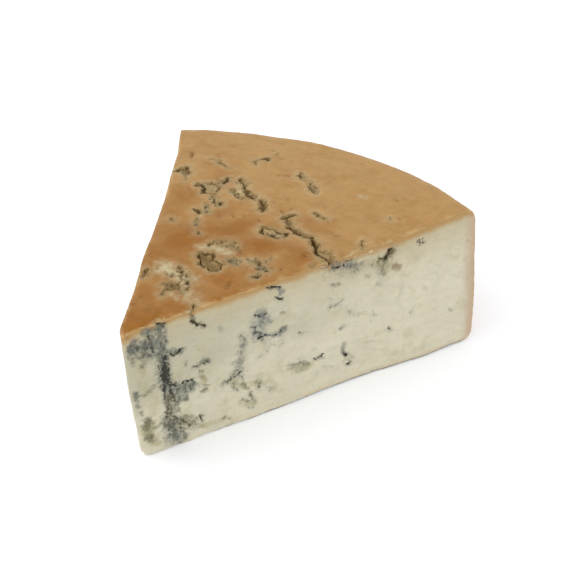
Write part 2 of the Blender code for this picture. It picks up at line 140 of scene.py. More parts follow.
# Each mark is (kind, route, width, strength, depth) in millimetres
topMarks = [
    # the main crack, from the middle of the top to the arris
    ("dark", [(11, 71.5), (14.5, 70.3), (18, 69.6), (21.5, 69.5), (23.5, 67.8)], 1.0, 1.0, 1.4),
    ("dark", [(23.5, 67.8), (25.2, 65.5), (26.5, 63.3), (29, 61.8), (31.5, 61), (35, 60.3)],
     1.1, 1.0, 1.7),
    ("haze", [(24, 67), (27, 63.5), (31, 62.5), (35, 60.5)], 2.2, 0.6, 0.5),
    ("dark", [(29, 64), (31.5, 64.2), (33.5, 62)], 0.7, 0.7, 0.6),
    # the upper crack and the loop below it
    ("dark", [(-21, 89.5), (-18.8, 87.4), (-16.5, 85.5), (-14.2, 83.4)], 0.9, 0.85, 1.0),
    ("dark", [(-14.2, 83.4), (-12.2, 81), (-9.2, 80.8)], 1.3, 1.0, 1.4),
    ("haze", [(-13.5, 82.5), (-10.5, 82)], 1.9, 0.7, 0.8),
    ("olive", [(-20, 88.5), (-17.5, 86.5)], 2.0, 0.6, 0.4),
    ("dark", [(-19, 81.7), (-17, 79.8), (-14.2, 78.3), (-12, 79.3)], 0.9, 0.75, 0.7),
    ("olive", [(-19, 81), (-16, 79.5)], 1.9, 0.6, 0.4),
    ("pale", [(-17, 82), (-13.5, 80.8)], 2.4, 0.7, 0.0),
    # the pocket of loops at the left
    ("dark", [(-25.3, 87.2), (-24.7, 84.5)], 0.9, 0.95, 1.0),
    ("dark", [(-30.1, 80.6), (-27.9, 81.8), (-24.5, 80.4), (-23.2, 77.6)], 0.7, 0.75, 0.7),
    ("dark", [(-32.2, 77.6), (-29.8, 78.5), (-28.4, 76.6), (-26.7, 74.6)], 0.9, 1.0, 1.0),
    ("dark", [(-26.7, 74.6), (-24.5, 75.6), (-22.6, 76.4)], 0.7, 0.6, 0.5),
    ("olive", [(-29, 79.5), (-25.5, 78)], 2.8, 0.55, 0.4),
    ("olive", [(-26.2, 84), (-25, 81.5)], 2.0, 0.5, 0.3),
    # the blue-grey pocket at the left edge
    ("haze", [(-43.2, 83.5), (-41, 82.7)], 2.5, 0.9, 0.7),
    ("dark", [(-45, 81.6), (-44.6, 83.8), (-42.4, 85.2), (-40.6, 83.6), (-39.9, 81.2)], 0.8, 0.9, 0.8),
    ("olive", [(-40, 80.5), (-38.6, 78.4)], 1.3, 0.5, 0.3),
    # the dark green pocket, the slit and what lies between them
    ("dark", [(-5.6, 80.4), (-4, 78.6), (-2.8, 76.6)], 1.6, 1.0, 1.3),
    ("haze", [(-3.6, 77.6), (-2.2, 75.8)], 1.5, 0.9, 0.8),
    ("brown", [(3.6, 78.8), (5.2, 78.2)], 1.3, 0.6, 0.4),
    ("dark", [(9.3, 78.4), (8.2, 76.5), (7.0, 74.4)], 0.85, 1.0, 1.6),
    ("dark", [(8.6, 75), (9.8, 73.3), (11.2, 73.4)], 1.0, 0.7, 0.7),
    ("haze", [(9.3, 74.5), (10.7, 72.2)], 1.5, 0.7, 0.5),
    # the ring with the pale bar
    ("dark", [(4.2, 66.2), (4.9, 64.2), (6.2, 63.6)], 0.9, 1.0, 1.3),
    ("dark", [(5, 66.3), (8, 67), (11, 66.4), (13.1, 67.7)], 0.8, 0.8, 0.9),
    ("dark", [(6.2, 63.7), (9, 64.1), (12, 63.7)], 0.7, 0.8, 0.8),
    ("dark", [(12.9, 67.5), (13.2, 65.8)], 0.8, 0.9, 0.8),
    ("pale", [(6.3, 65), (11, 65.4)], 1.3, 0.9, 0.3),
    ("brown", [(6, 68.4), (11, 68.4)], 1.8, 0.45, 0.5),
    ("olive", [(9.8, 66), (12.5, 65)], 2.0, 0.5, 0.3),
    # the chain that runs down the left side
    ("olive", [(-22.3, 74.6), (-19.9, 72), (-17.6, 71.5)], 1.8, 0.6, 0.4),
    ("dark", [(-20.6, 72.6), (-19.7, 71.6)], 0.9, 0.9, 0.9),
    ("dark", [(-18, 72.2), (-17.3, 70.8)], 0.7, 0.9, 0.8),
    ("dark", [(-22, 74), (-22.6, 72.8)], 0.6, 0.6, 0.4),
    ("olive", [(-21.8, 68.8), (-20.2, 67.4), (-18.6, 65.2)], 1.5, 0.65, 0.4),
    ("dark", [(-21.8, 68.4), (-20.8, 67)], 0.8, 0.7, 0.7),
    ("dark", [(-23, 64.1), (-21.3, 63.8), (-20, 63)], 0.8, 0.95, 0.9),
    ("dark", [(-18.9, 65.4), (-18.4, 64.4)], 0.6, 0.6, 0.5),
    ("brown", [(-15, 67), (-12.5, 65.2)], 1.8, 0.4, 0.2),
    ("olive", [(-20, 61), (-18.3, 60)], 1.3, 0.4, 0.2),
    ("olive", [(-18.6, 59.2), (-16.8, 57)], 1.6, 0.7, 0.4),
    ("dark", [(-17.6, 58.6), (-16.7, 56.8)], 0.6, 0.7, 0.5),
    ("dark", [(-13.4, 53.8), (-12.7, 52.8)], 0.8, 0.7, 0.6),
    ("dark", [(-26.6, 55.6), (-25.6, 54.6)], 0.7, 0.5, 0.4),
    # the far side
    ("haze", [(-23.4, 102), (-22.4, 101.2)], 1.1, 0.8, 0.5),
    ("dark", [(-23.4, 102), (-22.6, 101.4)], 0.6, 0.8, 0.6),
    ("dark", [(-22.4, 104), (-20.7, 106.1), (-19.9, 105.6)], 0.7, 0.8, 0.7),
    ("dark", [(-19.4, 111.6), (-18.8, 109.8)], 0.5, 0.4, 0.4),
    ("brown", [(-19.6, 109.6), (-17.2, 108.2), (-15.2, 108.6)], 1.3, 0.35, 0.3),
    ("brown", [(-49.2, 96.4), (-47.8, 95.4), (-46.1, 92.9)], 1.0, 0.85, 0.7),
    ("dark", [(-34.6, 95.8), (-33.8, 94.6)], 0.8, 0.7, 0.6),
    ("olive", [(-39.5, 95.2), (-36, 95.6), (-32, 94.2), (-28.8, 93.4)], 0.9, 0.5, 0.3),
    ("brown", [(-38.2, 99.5), (-36.5, 97.6)], 1.3, 0.35, 0.3),
    ("brown", [(-38, 91.2), (-37, 90.9)], 1.2, 0.35, 0.2),
    ("brown", [(-29, 97.6), (-27, 98.4)], 1.9, 0.3, 0.2),
    ("brown", [(-10.8, 97.8), (-8.6, 98.6), (-6, 99.6)], 1.3, 0.45, 0.4),
    ("dark", [(-3, 101.4), (-2.2, 100.6)], 0.9, 0.9, 0.9),
    ("olive", [(-3.2, 101.4), (-1, 99.8)], 1.8, 0.7, 0.3),
    ("dark", [(3.2, 98.6), (4.4, 95.8), (6.4, 93.9), (8.6, 93.6)], 0.6, 0.8, 0.7),
    ("dark", [(4, 98), (6, 97.2), (7.6, 95.4)], 0.5, 0.6, 0.5),
    ("haze", [(4.2, 97), (7.6, 94.4)], 1.9, 0.7, 0.5),
    ("olive", [(1, 98.6), (3.5, 97.8)], 1.6, 0.5, 0.2),
    ("brown", [(1.6, 86.6), (1.9, 85.6)], 0.9, 0.4, 0.3),
    # the pits near the arris and on the right
    ("dark", [(14.6, 82.6), (16.5, 81.8), (19.6, 81.2)], 0.6, 0.75, 0.7),
    ("brown", [(19.6, 81.4), (23.4, 82.8)], 0.9, 0.4, 0.3),
    ("brown", [(15.6, 87.8), (16.4, 87.2)], 0.8, 0.45, 0.3),
    ("brown", [(26, 75), (28, 74)], 1.5, 0.4, 0.3),
    ("dark", [(37.4, 75.4), (38.6, 73.2)], 0.6, 0.7, 0.6),
    ("dark", [(40.2, 70.4), (38.9, 68.4), (39.4, 66.6)], 0.8, 0.9, 1.0),
    ("olive", [(38.6, 72), (39.6, 68)], 1.3, 0.5, 0.3),
    ("brown", [(30.8, 66.2), (31.6, 65.2)], 0.8, 0.4, 0.3),
    ("pale", [(22.8, 100.2), (25.2, 99.8)], 1.5, 0.5, 0.5),
    ("brown", [(34, 103.4), (36, 102.6)], 1.0, 0.4, 0.4),
    ("brown", [(45, 110.4), (46, 109.8)], 0.8, 0.4, 0.3),
    ("brown", [(27, 108.4), (28, 107.6)], 0.8, 0.3, 0.3),
    ("brown", [(12.4, 119), (13.6, 118.8)], 0.8, 0.35, 0.3),
    ("brown", [(46.6, 95.4), (48.2, 94.6)], 0.8, 0.4, 0.3),
    ("brown", [(40.6, 93.4), (41.4, 92.6)], 0.8, 0.35, 0.3),
    ("dark", [(38.3, 92), (38.8, 91.4)], 0.45, 0.7, 0.4),
    # dots in the deep orange
    ("brown", [(0.2, 69.9), (0.8, 69.3)], 1.0, 0.9, 0.6),
    ("brown", [(-5.8, 69.5), (-5, 69)], 0.9, 0.5, 0.4),
    ("brown", [(-9.4, 67.8), (-8.8, 67.3)], 0.8, 0.6, 0.4),
    ("brown", [(-33.2, 74.4), (-32.6, 73.6)], 0.9, 0.5, 0.3),
    ("brown", [(25, 59.4), (25.6, 58.8)], 0.8, 0.7, 0.4),
    ("dark", [(30, 56.6), (30, 55.4)], 0.4, 0.6, 0.3),
    ("brown", [(12.8, 35.6), (13.6, 34), (13.2, 32.6)], 1.2, 0.5, 0.4),
    # the grey-green smear above the large pocket
    ("haze", [(-4, 52), (-1, 53.4), (1.2, 53)], 2.1, 0.42, 0.4),
    ("olive", [(-2, 51.6), (3, 51.4)], 2.2, 0.5, 0.3),
    ("dark", [(-5.3, 50), (-4.5, 51), (-2.4, 52.6)], 0.9, 0.8, 0.8),
    ("dark", [(0.8, 54.2), (1.8, 52.8), (2.8, 51.8)], 0.5, 0.7, 0.5),
    ("brown", [(3.6, 52.4), (6.4, 50.6)], 1.1, 0.6, 0.4),
    ("dark", [(-5, 49.2), (-4.8, 48)], 0.6, 0.5, 0.3),
    ("pale", [(-7, 47.6), (-2, 48.6), (3, 49)], 3.6, 0.8, 0.0),
    # the large grey pocket
    ("grey", [(-3.6, 43.2), (-0.4, 42), (0.6, 40.6)], 2.6, 0.95, 1.0),
    ("grey", [(0.6, 40.8), (3.8, 40)], 2.3, 0.95, 1.0),
    ("dark", [(-5.5, 44), (-3.4, 44.8), (-1.3, 45.6), (0, 45), (0.5, 42.9)], 0.55, 0.9, 0.7),
    ("dark", [(0.5, 42.9), (3, 42.7), (5.4, 42.2)], 0.55, 0.85, 0.6),
    ("dark", [(5.2, 42), (4.9, 38.6), (3, 37.9)], 0.6, 0.9, 0.8),
    ("dark", [(3, 37.9), (1.2, 39), (-1.3, 38.9), (-3, 41.3), (-5.5, 43.9)], 0.6, 0.95, 0.9),
    ("dark", [(2.6, 41.6), (3.6, 40.8)], 0.9, 0.7, 0.6),
    ("dark", [(-2.6, 43.6), (-0.6, 42.8)], 0.5, 0.55, 0.2),
    ("dark", [(0.8, 40), (3.2, 39.2)], 0.5, 0.5, 0.2),
    ("pale", [(-3.6, 42.6), (-1.6, 40.6)], 0.45, 0.7, -0.2),
    # the speckled chain to the right of it
    ("olive", [(5.4, 46.2), (8.8, 45.2)], 1.8, 0.75, 0.3),
    ("dark", [(5.2, 46.4), (5.8, 45.6)], 0.55, 0.7, 0.5),
    ("dark", [(8.4, 45.2), (9.2, 44.8)], 0.55, 0.8, 0.5),
    ("dark", [(8.0, 46.8), (9.4, 47)], 0.4, 0.6, 0.4),
    ("brown", [(10.6, 48.6), (12.4, 48.8)], 1.3, 0.55, 0.3),
    ("olive", [(12.2, 48.6), (15.6, 47.6), (18.2, 46.4)], 1.8, 0.75, 0.4),
    ("dark", [(14.2, 48.9), (15.4, 48.2)], 0.75, 0.85, 0.7),
    ("dark", [(16.2, 46.2), (16.9, 45.8)], 0.6, 0.85, 0.5),
    ("dark", [(17.8, 46.9), (18.8, 46)], 0.7, 0.85, 0.6),
    ("dark", [(18.4, 42.6), (17.4, 41.4)], 0.75, 0.9, 0.7),
    ("olive", [(17.8, 44.6), (17.8, 41.6)], 1.3, 0.5, 0.2),
    ("brown", [(16.7, 52.9), (17.1, 51.9)], 0.8, 0.5, 0.3),
    ("olive", [(16.8, 52), (16.6, 49.8)], 1.0, 0.5, 0.2),
    ("brown", [(22.2, 49.8), (22.7, 49)], 0.8, 0.8, 0.4),
    ("brown", [(20, 48.4), (20.6, 47.8)], 0.6, 0.6, 0.3),
    # the pale patch with its dots
    ("pale", [(-10, 32), (-5, 31), (0, 30)], 6.0, 1.0, 0.0),
    ("pale", [(0, 29), (5, 24), (10, 22)], 4.5, 0.6, 0.0),
    ("dark", [(-6.8, 34.4), (-6, 34)], 0.7, 0.85, 0.6),
    ("dark", [(-4.7, 33), (-4.2, 32.6)], 0.6, 0.8, 0.5),
    ("dark", [(-1.8, 32.4), (-1.2, 31.8)], 0.6, 0.8, 0.5),
    ("olive", [(-7.6, 29.6), (-6, 29.6)], 1.0, 0.7, 0.3),
    ("dark", [(-6.2, 30.6), (-5.9, 29.6)], 0.5, 0.7, 0.4),
    ("dark", [(-3.1, 31), (-2.5, 30), (-1.4, 29.6)], 0.55, 0.85, 0.6),
    ("dark", [(0.9, 30), (1.2, 28.6)], 0.6, 0.9, 0.6),
    ("olive", [(-0.6, 31), (1.8, 28.6)], 1.3, 0.6, 0.2),
    ("dark", [(2.8, 27.1), (3.4, 26.2)], 0.6, 0.85, 0.5),
    ("olive", [(1, 25.6), (3.4, 24.2)], 1.5, 0.5, 0.2),
    ("brown", [(-12.2, 30.8), (-11.8, 30.4)], 0.7, 0.7, 0.4),
    ("dark", [(-14.3, 28.6), (-14.0, 27), (-13, 25.6)], 0.8, 0.8, 0.8),
    ("haze", [(-13.8, 27.6), (-12.6, 24.8)], 1.3, 0.7, 0.4),
    # the grey-blue pocket below it
    ("haze", [(-3.4, 25.2), (-0.6, 25.6)], 2.1, 0.95, 0.7),
    ("dark", [(-4.8, 24.4), (-3, 26), (-1, 26.7)], 0.65, 0.85, 0.7),
    ("dark", [(-2.8, 23.6), (-1.2, 23.3)], 0.8, 0.8, 0.7),
    ("haze", [(-2.4, 22.8), (-1.6, 20.6)], 1.1, 0.7, 0.4),
    ("pale", [(0, 22.4), (3.6, 21)], 1.6, 0.6, 0.0),
    ("dark", [(10, 20.6), (11.3, 19), (12.6, 18)], 0.5, 0.7, 0.8),
    ("pale", [(-5.6, 14.9), (-5.2, 14.6)], 0.6, 1.0, -0.3),
    # specks round the marks
    ("cluster", [(-31, 78), (-27, 80), (-24.5, 77)], 3.4, 0.8, 0.0),
    ("cluster", [(-25.6, 86), (-25, 83)], 2.4, 0.8, 0.0),
    ("cluster", [(-20.5, 88), (-16, 83.5), (-10, 80.5)], 3.4, 0.95, 0.0),
    ("cluster", [(-18, 80.5), (-13, 79)], 2.8, 0.9, 0.0),
    ("cluster", [(-22, 73), (-18, 71)], 2.8, 0.9, 0.0),
    ("cluster", [(-21.5, 68.5), (-18.5, 65)], 2.6, 0.9, 0.0),
    ("cluster", [(-22.6, 64), (-19, 62)], 2.2, 0.8, 0.0),
    ("cluster", [(-18.6, 59.4), (-16.6, 57)], 2.0, 0.7, 0.0),
    ("cluster", [(-13.4, 54), (-12.4, 52.6)], 1.6, 0.7, 0.0),
    ("cluster", [(-44, 83), (-40, 81)], 3.2, 0.8, 0.0),
    ("cluster", [(-38, 95), (-33, 94.6)], 2.4, 0.6, 0.0),
    ("cluster", [(-4.6, 79.6), (-2.4, 76)], 2.4, 0.7, 0.0),
    ("cluster", [(9, 74.6), (11.4, 72)], 2.4, 0.9, 0.0),
    ("cluster", [(6, 65), (13, 65.6)], 3.0, 0.95, 0.0),
    ("cluster", [(15, 69.6), (21, 69)], 1.8, 0.7, 0.0),
    ("cluster", [(26, 63.6), (35, 60.4)], 2.4, 0.9, 0.0),
    ("cluster", [(40, 70), (39, 66.6)], 1.8, 0.7, 0.0),
    ("cluster", [(-2.6, 101), (-1, 99.6)], 1.6, 0.6, 0.0),
    ("cluster", [(4, 97.6), (7.6, 94.4)], 2.4, 0.95, 0.0),
    ("cluster", [(-22, 104), (-20, 106)], 1.8, 0.6, 0.0),
    ("cluster", [(-4.6, 50.6), (-1, 52.6), (2.6, 52.4)], 3.4, 0.85, 0.0),
    ("cluster", [(5, 46), (9, 45.6)], 2.8, 1.0, 0.0),
    ("cluster", [(11, 48.4), (18, 46.6)], 2.8, 1.0, 0.0),
    ("cluster", [(18, 45), (17.6, 41.4)], 1.9, 0.9, 0.0),
    ("cluster", [(16.8, 52.6), (16.6, 50)], 1.5, 0.7, 0.0),
    ("cluster", [(-7, 33.6), (-2, 32), (1.4, 28.6)], 3.8, 0.9, 0.0),
    ("cluster", [(-6.6, 30), (-3, 29.6)], 2.6, 0.7, 0.0),
    ("cluster", [(1.4, 27), (3.6, 24.6)], 2.2, 0.8, 0.0),
    ("cluster", [(-13.8, 28.6), (-12.8, 25)], 1.8, 0.8, 0.0),
    ("cluster", [(-3.4, 25), (-1.8, 21)], 2.6, 0.8, 0.0),
]

rightMarks = [
    # the main vein, from the top to the base near the tip
    ("dark", [(10.8, 53), (11.6, 51.8), (12, 50.4)], 0.7, 0.8, 0.4),
    ("haze", [(11.4, 51), (11, 47), (10.8, 42), (9.8, 38)], 1.9, 1.0, 0.4),
    ("dark", [(11.9, 50.4), (11.8, 46), (11.9, 43), (11.4, 40.6)], 0.45, 0.62, 0.2),
    ("dark", [(9.7, 49.4), (9.9, 46), (8.8, 43.6), (8.4, 41)], 0.45, 0.6, 0.2),
    ("dark", [(10.7, 47.4), (10.6, 44.2)], 0.5, 0.6, 0.1),
    ("dark", [(10.9, 37.6), (10.4, 34.6), (9.9, 31.6), (9.8, 28.6)], 1.8, 1.0, 0.8),
    ("dark", [(8.6, 34.8), (8.3, 32.4)], 0.6, 0.7, 0.3),
    ("dark", [(11.8, 35.4), (11.9, 33.4), (11.3, 30)], 0.5, 0.75, 0.4),
    ("haze", [(10, 39), (10, 30), (10, 20)], 2.6, 1.0, 0.3),
    ("dark", [(9.4, 28.8), (9.0, 25.4), (8.9, 20.6)], 0.85, 0.9, 0.4),
    ("dark", [(10.7, 28.4), (11.2, 24), (11.1, 20.2)], 0.95, 0.9, 0.5),
    ("haze", [(10, 20), (9.9, 16), (9.8, 11)], 2.9, 1.0, 0.2),
    ("haze", [(11, 19), (11.2, 13)], 2.0, 0.9, 0.1),
    ("olive", [(9.6, 19), (9.8, 12)], 2.6, 0.85, 0.0),
    ("dark", [(8.6, 19.4), (8.5, 15.4), (8.2, 11.4)], 0.6, 0.75, 0.2),
    ("dark", [(9.8, 15), (9.5, 12.4), (9.8, 10)], 0.7, 0.85, 0.3),
    ("dark", [(11.6, 18.8), (11.2, 14)], 0.6, 0.7, 0.1),
    ("dark", [(10.4, 11.4), (11.6, 10), (13, 9)], 0.55, 0.7, 0.3),
    ("haze", [(9.4, 10.4), (10.2, 6), (9.6, 1.8)], 4.4, 1.0, 0.3),
    ("haze", [(12.4, 9.4), (13.6, 7), (15, 5.4)], 2.3, 0.95, 0.1),
    ("haze", [(7, 3), (12.4, 1.6)], 1.5, 0.5, 0.0),
    ("dark", [(7.9, 9.6), (7.5, 6.8), (7.9, 4.2)], 0.6, 0.62, 0.1),
    ("dark", [(10, 8.6), (9.9, 5.4), (9.4, 2.4)], 0.6, 0.62, 0.1),
    ("dark", [(12.2, 7.8), (12, 4.8), (11, 2.6)], 0.6, 0.65, 0.1),
    ("olive", [(13.2, 9), (14.2, 6.6), (15.8, 5)], 3.0, 1.0, 0.2),
    ("dark", [(13.4, 9), (13.8, 6.8), (14.8, 5.2), (15.8, 4.9)], 0.9, 0.8, 0.4),
    ("olive", [(15.6, 6.2), (18.8, 7.6)], 1.2, 0.8, 0.1),
    ("dark", [(19.2, 7.6), (19.3, 5.8)], 0.8, 0.9, 0.5),
    ("olive", [(16.2, 3.4), (18.4, 2.6)], 0.9, 0.5, 0.0),
    # the cloud to its left
    ("haze", [(2.2, 44.6), (5, 43.8), (8.8, 44)], 4.0, 1.0, 0.2),
    ("haze", [(7, 50.2), (7, 48.2), (8.4, 45)], 2.2, 0.8, 0.1),
    ("haze", [(8.8, 49.4), (9.6, 46)], 1.3, 0.6, 0.0),
    ("dark", [(7.0, 48.6), (6.7, 46.6), (7.4, 45)], 0.6, 0.8, 0.2),
    ("dark", [(1.8, 46.2), (3.2, 44.8), (3.4, 43.2)], 0.7, 0.65, 0.2),
    ("dark", [(3.8, 45.8), (4.4, 43.6), (5.6, 42.6)], 0.7, 0.65, 0.2),
    ("dark", [(6.2, 43.6), (7.4, 42), (7.6, 40.2)], 0.6, 0.75, 0.1),
    ("haze", [(4, 41.4), (7, 40.2), (9.6, 39.2)], 2.4, 0.8, 0.1),
    ("olive", [(3.6, 41), (4.4, 38.4), (3.8, 36.8)], 1.2, 0.6, 0.0),
    ("olive", [(1.2, 41.6), (1.4, 38.6)], 1.0, 0.6, 0.0),
    ("stain", [(2, 39), (3.6, 33)], 3.0, 0.6, 0.0),
    # the streak to its right
    ("dark", [(12.2, 38.6), (13.8, 37), (15.2, 37.2), (15.6, 38.2), (17, 38.4)], 0.6, 0.8, 0.6),
    ("haze", [(11.8, 39.4), (14, 38.8), (15.6, 37.8)], 1.4, 0.85, 0.2),
    # the lobe lower down
    ("haze", [(11.8, 24), (14.2, 22.2), (16.8, 22.4)], 3.6, 1.0, 0.3),
    ("haze", [(12.6, 19.4), (14, 18)], 2.3, 0.95, 0.1),
    ("dark", [(11.6, 26), (12.8, 24.4), (14, 24.2)], 0.6, 0.75, 0.5),
    ("dark", [(14.6, 25), (16.4, 25), (18.2, 24.7)], 0.55, 0.85, 0.5),
    ("dark", [(16.6, 22), (17.6, 20.8)], 0.6, 0.6, 0.2),
    ("dark", [(12.4, 20.6), (13.4, 19), (14.2, 17.8)], 0.55, 0.6, 0.2),
    ("dark", [(12.8, 23.2), (14, 22.2), (14.4, 20.8)], 0.6, 0.7, 0.1),
    ("dark", [(15.4, 23.4), (16.2, 22.6)], 0.6, 0.6, 0.1),
    ("haze", [(16, 20.4), (19, 20)], 1.4, 0.4, 0.0),
    # stains at the tip
    ("stain", [(2, 12), (1.6, 7), (2.4, 3)], 4.2, 1.0, 0.0),
    ("olive", [(1.5, 14.4), (1.0, 10), (0.9, 5)], 2.0, 0.9, 0.1),
    ("olive", [(1.6, 9.8), (4.4, 9.4), (5.8, 10.2)], 1.5, 0.65, 0.0),
    ("dark", [(1.4, 10), (1.1, 8)], 0.45, 0.35, 0.1),
    ("haze", [(-1.2, 26.6), (-0.6, 21.4)], 1.9, 0.9, 0.1),
    ("dark", [(-0.8, 25.4), (-0.2, 24)], 0.5, 0.45, 0.1),
    ("olive", [(0.4, 25.4), (3, 25.2), (5.8, 27.4)], 0.9, 0.6, 0.0),
    ("olive", [(5.7, 28.2), (6.5, 27)], 0.8, 0.8, 0.1),
    ("brown", [(0.3, 51), (2.4, 49.6), (3.4, 47.4)], 2.4, 0.45, 0.0),
    ("olive", [(0.4, 18.4), (0.6, 16)], 0.8, 0.6, 0.0),
    ("stain", [(3, 30), (5, 22), (4.4, 16)], 3.6, 0.5, 0.0),
    # small marks between the first and the second vein
    ("dark", [(21.2, 53.4), (21.5, 51), (21.2, 48.4)], 0.5, 0.55, 0.6),
    ("haze", [(21.2, 50), (21.6, 47)], 1.2, 0.5, 0.0),
    ("dark", [(21.0, 47.6), (21.8, 46.6), (22.6, 46)], 0.75, 0.95, 0.8),
    ("dark", [(22.6, 46), (24, 45.6), (25.3, 44.8)], 0.5, 0.7, 0.5),
    ("olive", [(21, 47.2), (24.6, 45.4)], 1.3, 0.75, 0.0),
    ("dark", [(19.8, 29.9), (21.2, 29.5)], 0.6, 0.8, 0.5),
    ("dark", [(22.6, 30), (23.8, 29.6)], 0.5, 0.7, 0.4),
    ("haze", [(20.4, 29.8), (22.4, 30.8), (24.2, 30)], 1.4, 0.6, 0.0),
    ("olive", [(21, 28), (21.5, 26.6)], 0.7, 0.75, 0.1),
    ("olive", [(21.6, 24.4), (22.4, 22.4)], 0.9, 0.6, 0.1),
    ("olive", [(21.6, 20.4), (23.5, 20)], 0.7, 0.8, 0.1),
    ("olive", [(20.6, 18.2), (22.8, 18.4)], 0.9, 1.0, 0.2),
    ("stain", [(21.4, 27), (22.4, 18)], 2.2, 0.7, 0.0),
    ("haze", [(16.6, 32.6), (17.2, 31.6)], 1.0, 0.5, 0.0),
    ("stain", [(21.4, 38.4), (21.8, 36)], 1.2, 0.6, 0.0),
    ("olive", [(27, 3.4), (28.4, 1.8)], 0.9, 0.6, 0.1),
    ("haze", [(28.8, 42.2), (29.6, 41.2)], 1.3, 0.4, 0.0),
    ("stain", [(18, 3), (26, 2.4)], 2.4, 0.7, 0.0),
    # the second vein
    ("haze", [(35.8, 31.6), (35.8, 26.8), (33.8, 22.8)], 2.3, 0.52, 0.1),
    ("haze", [(33.4, 25), (34.2, 20.4)], 2.6, 0.58, 0.1),
    ("haze", [(33, 21.6), (30, 18.2)], 1.9, 0.62, 0.1),
    ("dark", [(36.0, 27), (37, 26.2)], 0.6, 0.5, 0.1),
    ("dark", [(35, 20.8), (34, 19.6), (32.2, 19.2)], 0.6, 0.7, 0.4),
    ("dark", [(31.2, 18.8), (30, 17.8)], 0.7, 0.75, 0.4),
    ("dark", [(35, 19), (35, 17.2)], 0.5, 0.5, 0.2),
    ("haze", [(28.4, 18), (30.6, 18.6)], 1.6, 0.65, 0.1),
    ("haze", [(36.6, 36), (36.2, 32)], 1.8, 0.45, 0.0),
    ("stain", [(32, 17), (36, 13)], 3.2, 0.8, 0.0),
    ("olive", [(31.3, 16.8), (31.6, 14.8), (32.8, 13.2)], 1.2, 0.7, 0.2),
    ("olive", [(34.4, 15.6), (35.2, 14), (36.2, 12.2)], 1.2, 0.65, 0.1),
    ("olive", [(32.8, 16.6), (34.4, 15.2)], 0.8, 0.35, 0.0),
    ("olive", [(40.1, 13.8), (40.4, 11.2)], 1.3, 0.75, 0.2),
    ("dark", [(40.0, 12.2), (40.4, 11.2)], 0.55, 0.6, 0.2),
    ("stain", [(38, 14), (44, 13), (46, 9)], 3.0, 0.6, 0.0),
    ("olive", [(33.8, 8.4), (35.6, 7)], 1.1, 0.8, 0.1),
    ("olive", [(37.4, 9.8), (37.8, 5.4)], 1.1, 0.65, 0.0),
    ("olive", [(35.4, 4.4), (36.8, 3.2)], 1.0, 0.6, 0.0),
    ("stain", [(33, 7), (38, 5)], 3.0, 0.7, 0.0),
    ("olive", [(43.4, 9.4), (45.4, 7.2)], 1.7, 0.5, 0.0),
    # the blue cluster
    ("blue", [(43.6, 41), (43.2, 37.6), (41.8, 35.6), (42.6, 33.8)], 3.1, 0.66, 0.3),
    ("blue", [(44.4, 38.8), (46.4, 38)], 2.0, 0.6, 0.1),
    ("blue", [(41, 41), (40, 37)], 1.6, 0.42, 0.0),
    ("dark", [(41.8, 41.6), (42.8, 40.8)], 0.65, 0.85, 0.4),
    ("dark", [(45.3, 40.8), (44.3, 39)], 0.6, 0.6, 0.3),
    ("dark", [(43.6, 39.4), (42.6, 37.8)], 0.7, 0.56, 0.4),
    ("dark", [(40.2, 37.6), (41.6, 36.2), (42.6, 35.8)], 0.6, 0.85, 0.4),
    ("dark", [(41.6, 34.6), (43.2, 34.4)], 0.6, 0.85, 0.4),
    ("dark", [(41.4, 32), (43, 32.7), (44.6, 32.8)], 0.5, 0.9, 0.5),
    ("blue", [(42, 32.6), (44.4, 32.7), (46.6, 31.4), (49.4, 31), (51, 32)], 1.8, 0.68, 0.2),
    ("dark", [(45.4, 32), (47, 31), (48.6, 30.6)], 0.5, 0.8, 0.4),
    ("dark", [(49.4, 31.8), (50.2, 31.2)], 0.6, 0.6, 0.2),
    ("brown", [(50.6, 33), (52.2, 33.4)], 0.9, 0.5, 0.1),
    ("blue", [(45, 30), (49, 27.6)], 2.6, 0.34, 0.0),
    # the streak below the arris
    ("dark", [(46.6, 50.7), (48.8, 50.5), (50.8, 49.4)], 0.6, 0.9, 0.7),
    ("blue", [(50.6, 49.2), (51.5, 47.4), (50.6, 45.6)], 1.1, 0.6, 0.2),
    ("dark", [(49.8, 46), (50.4, 45), (51.5, 44.4)], 0.75, 0.95, 0.7),
    ("olive", [(50.6, 39.6), (51.5, 39)], 0.9, 0.6, 0.1),
    ("dark", [(56.1, 28.8), (57.3, 28)], 0.65, 0.65, 0.3),
    ("olive", [(57, 28.2), (59.4, 27.6)], 0.7, 0.35, 0.0),
    ("haze", [(41.6, 24.2), (44.6, 25.4)], 1.3, 0.45, 0.0),
    ("brown", [(43.4, 26.2), (44.8, 24.6)], 0.8, 0.4, 0.1),
    ("haze", [(53.4, 15.2), (56, 15.8), (57.4, 14.6), (55.6, 12.6)], 2.2, 0.55, 0.2),
    ("stain", [(53, 14), (58, 13.4)], 4.2, 0.7, 0.0),
    ("olive", [(54.6, 13.6), (57, 12.4)], 1.9, 0.5, 0.1),
    ("dark", [(61.2, 15.4), (62, 15)], 0.6, 0.7, 0.3),
    ("dark", [(63, 15), (64.2, 15.8)], 0.65, 0.85, 0.4),
    ("olive", [(61.4, 15), (64.4, 14.4)], 1.3, 0.5, 0.1),
    ("olive", [(64.4, 10.8), (67.6, 8.6)], 1.1, 0.4, 0.1),
    ("haze", [(60.6, 19.4), (62, 19.2)], 1.2, 0.3, 0.0),
    # faint marks in the middle
    ("haze", [(66.2, 47.6), (67, 46)], 1.1, 0.4, 0.0),
    ("olive", [(69.6, 42.8), (71.6, 42.4)], 1.1, 0.6, 0.1),
    ("haze", [(68, 37.8), (68.8, 37.2)], 1.0, 0.35, 0.0),
    ("haze", [(68.4, 34), (70.4, 34.4), (72.8, 35.4)], 1.1, 0.6, 0.2),
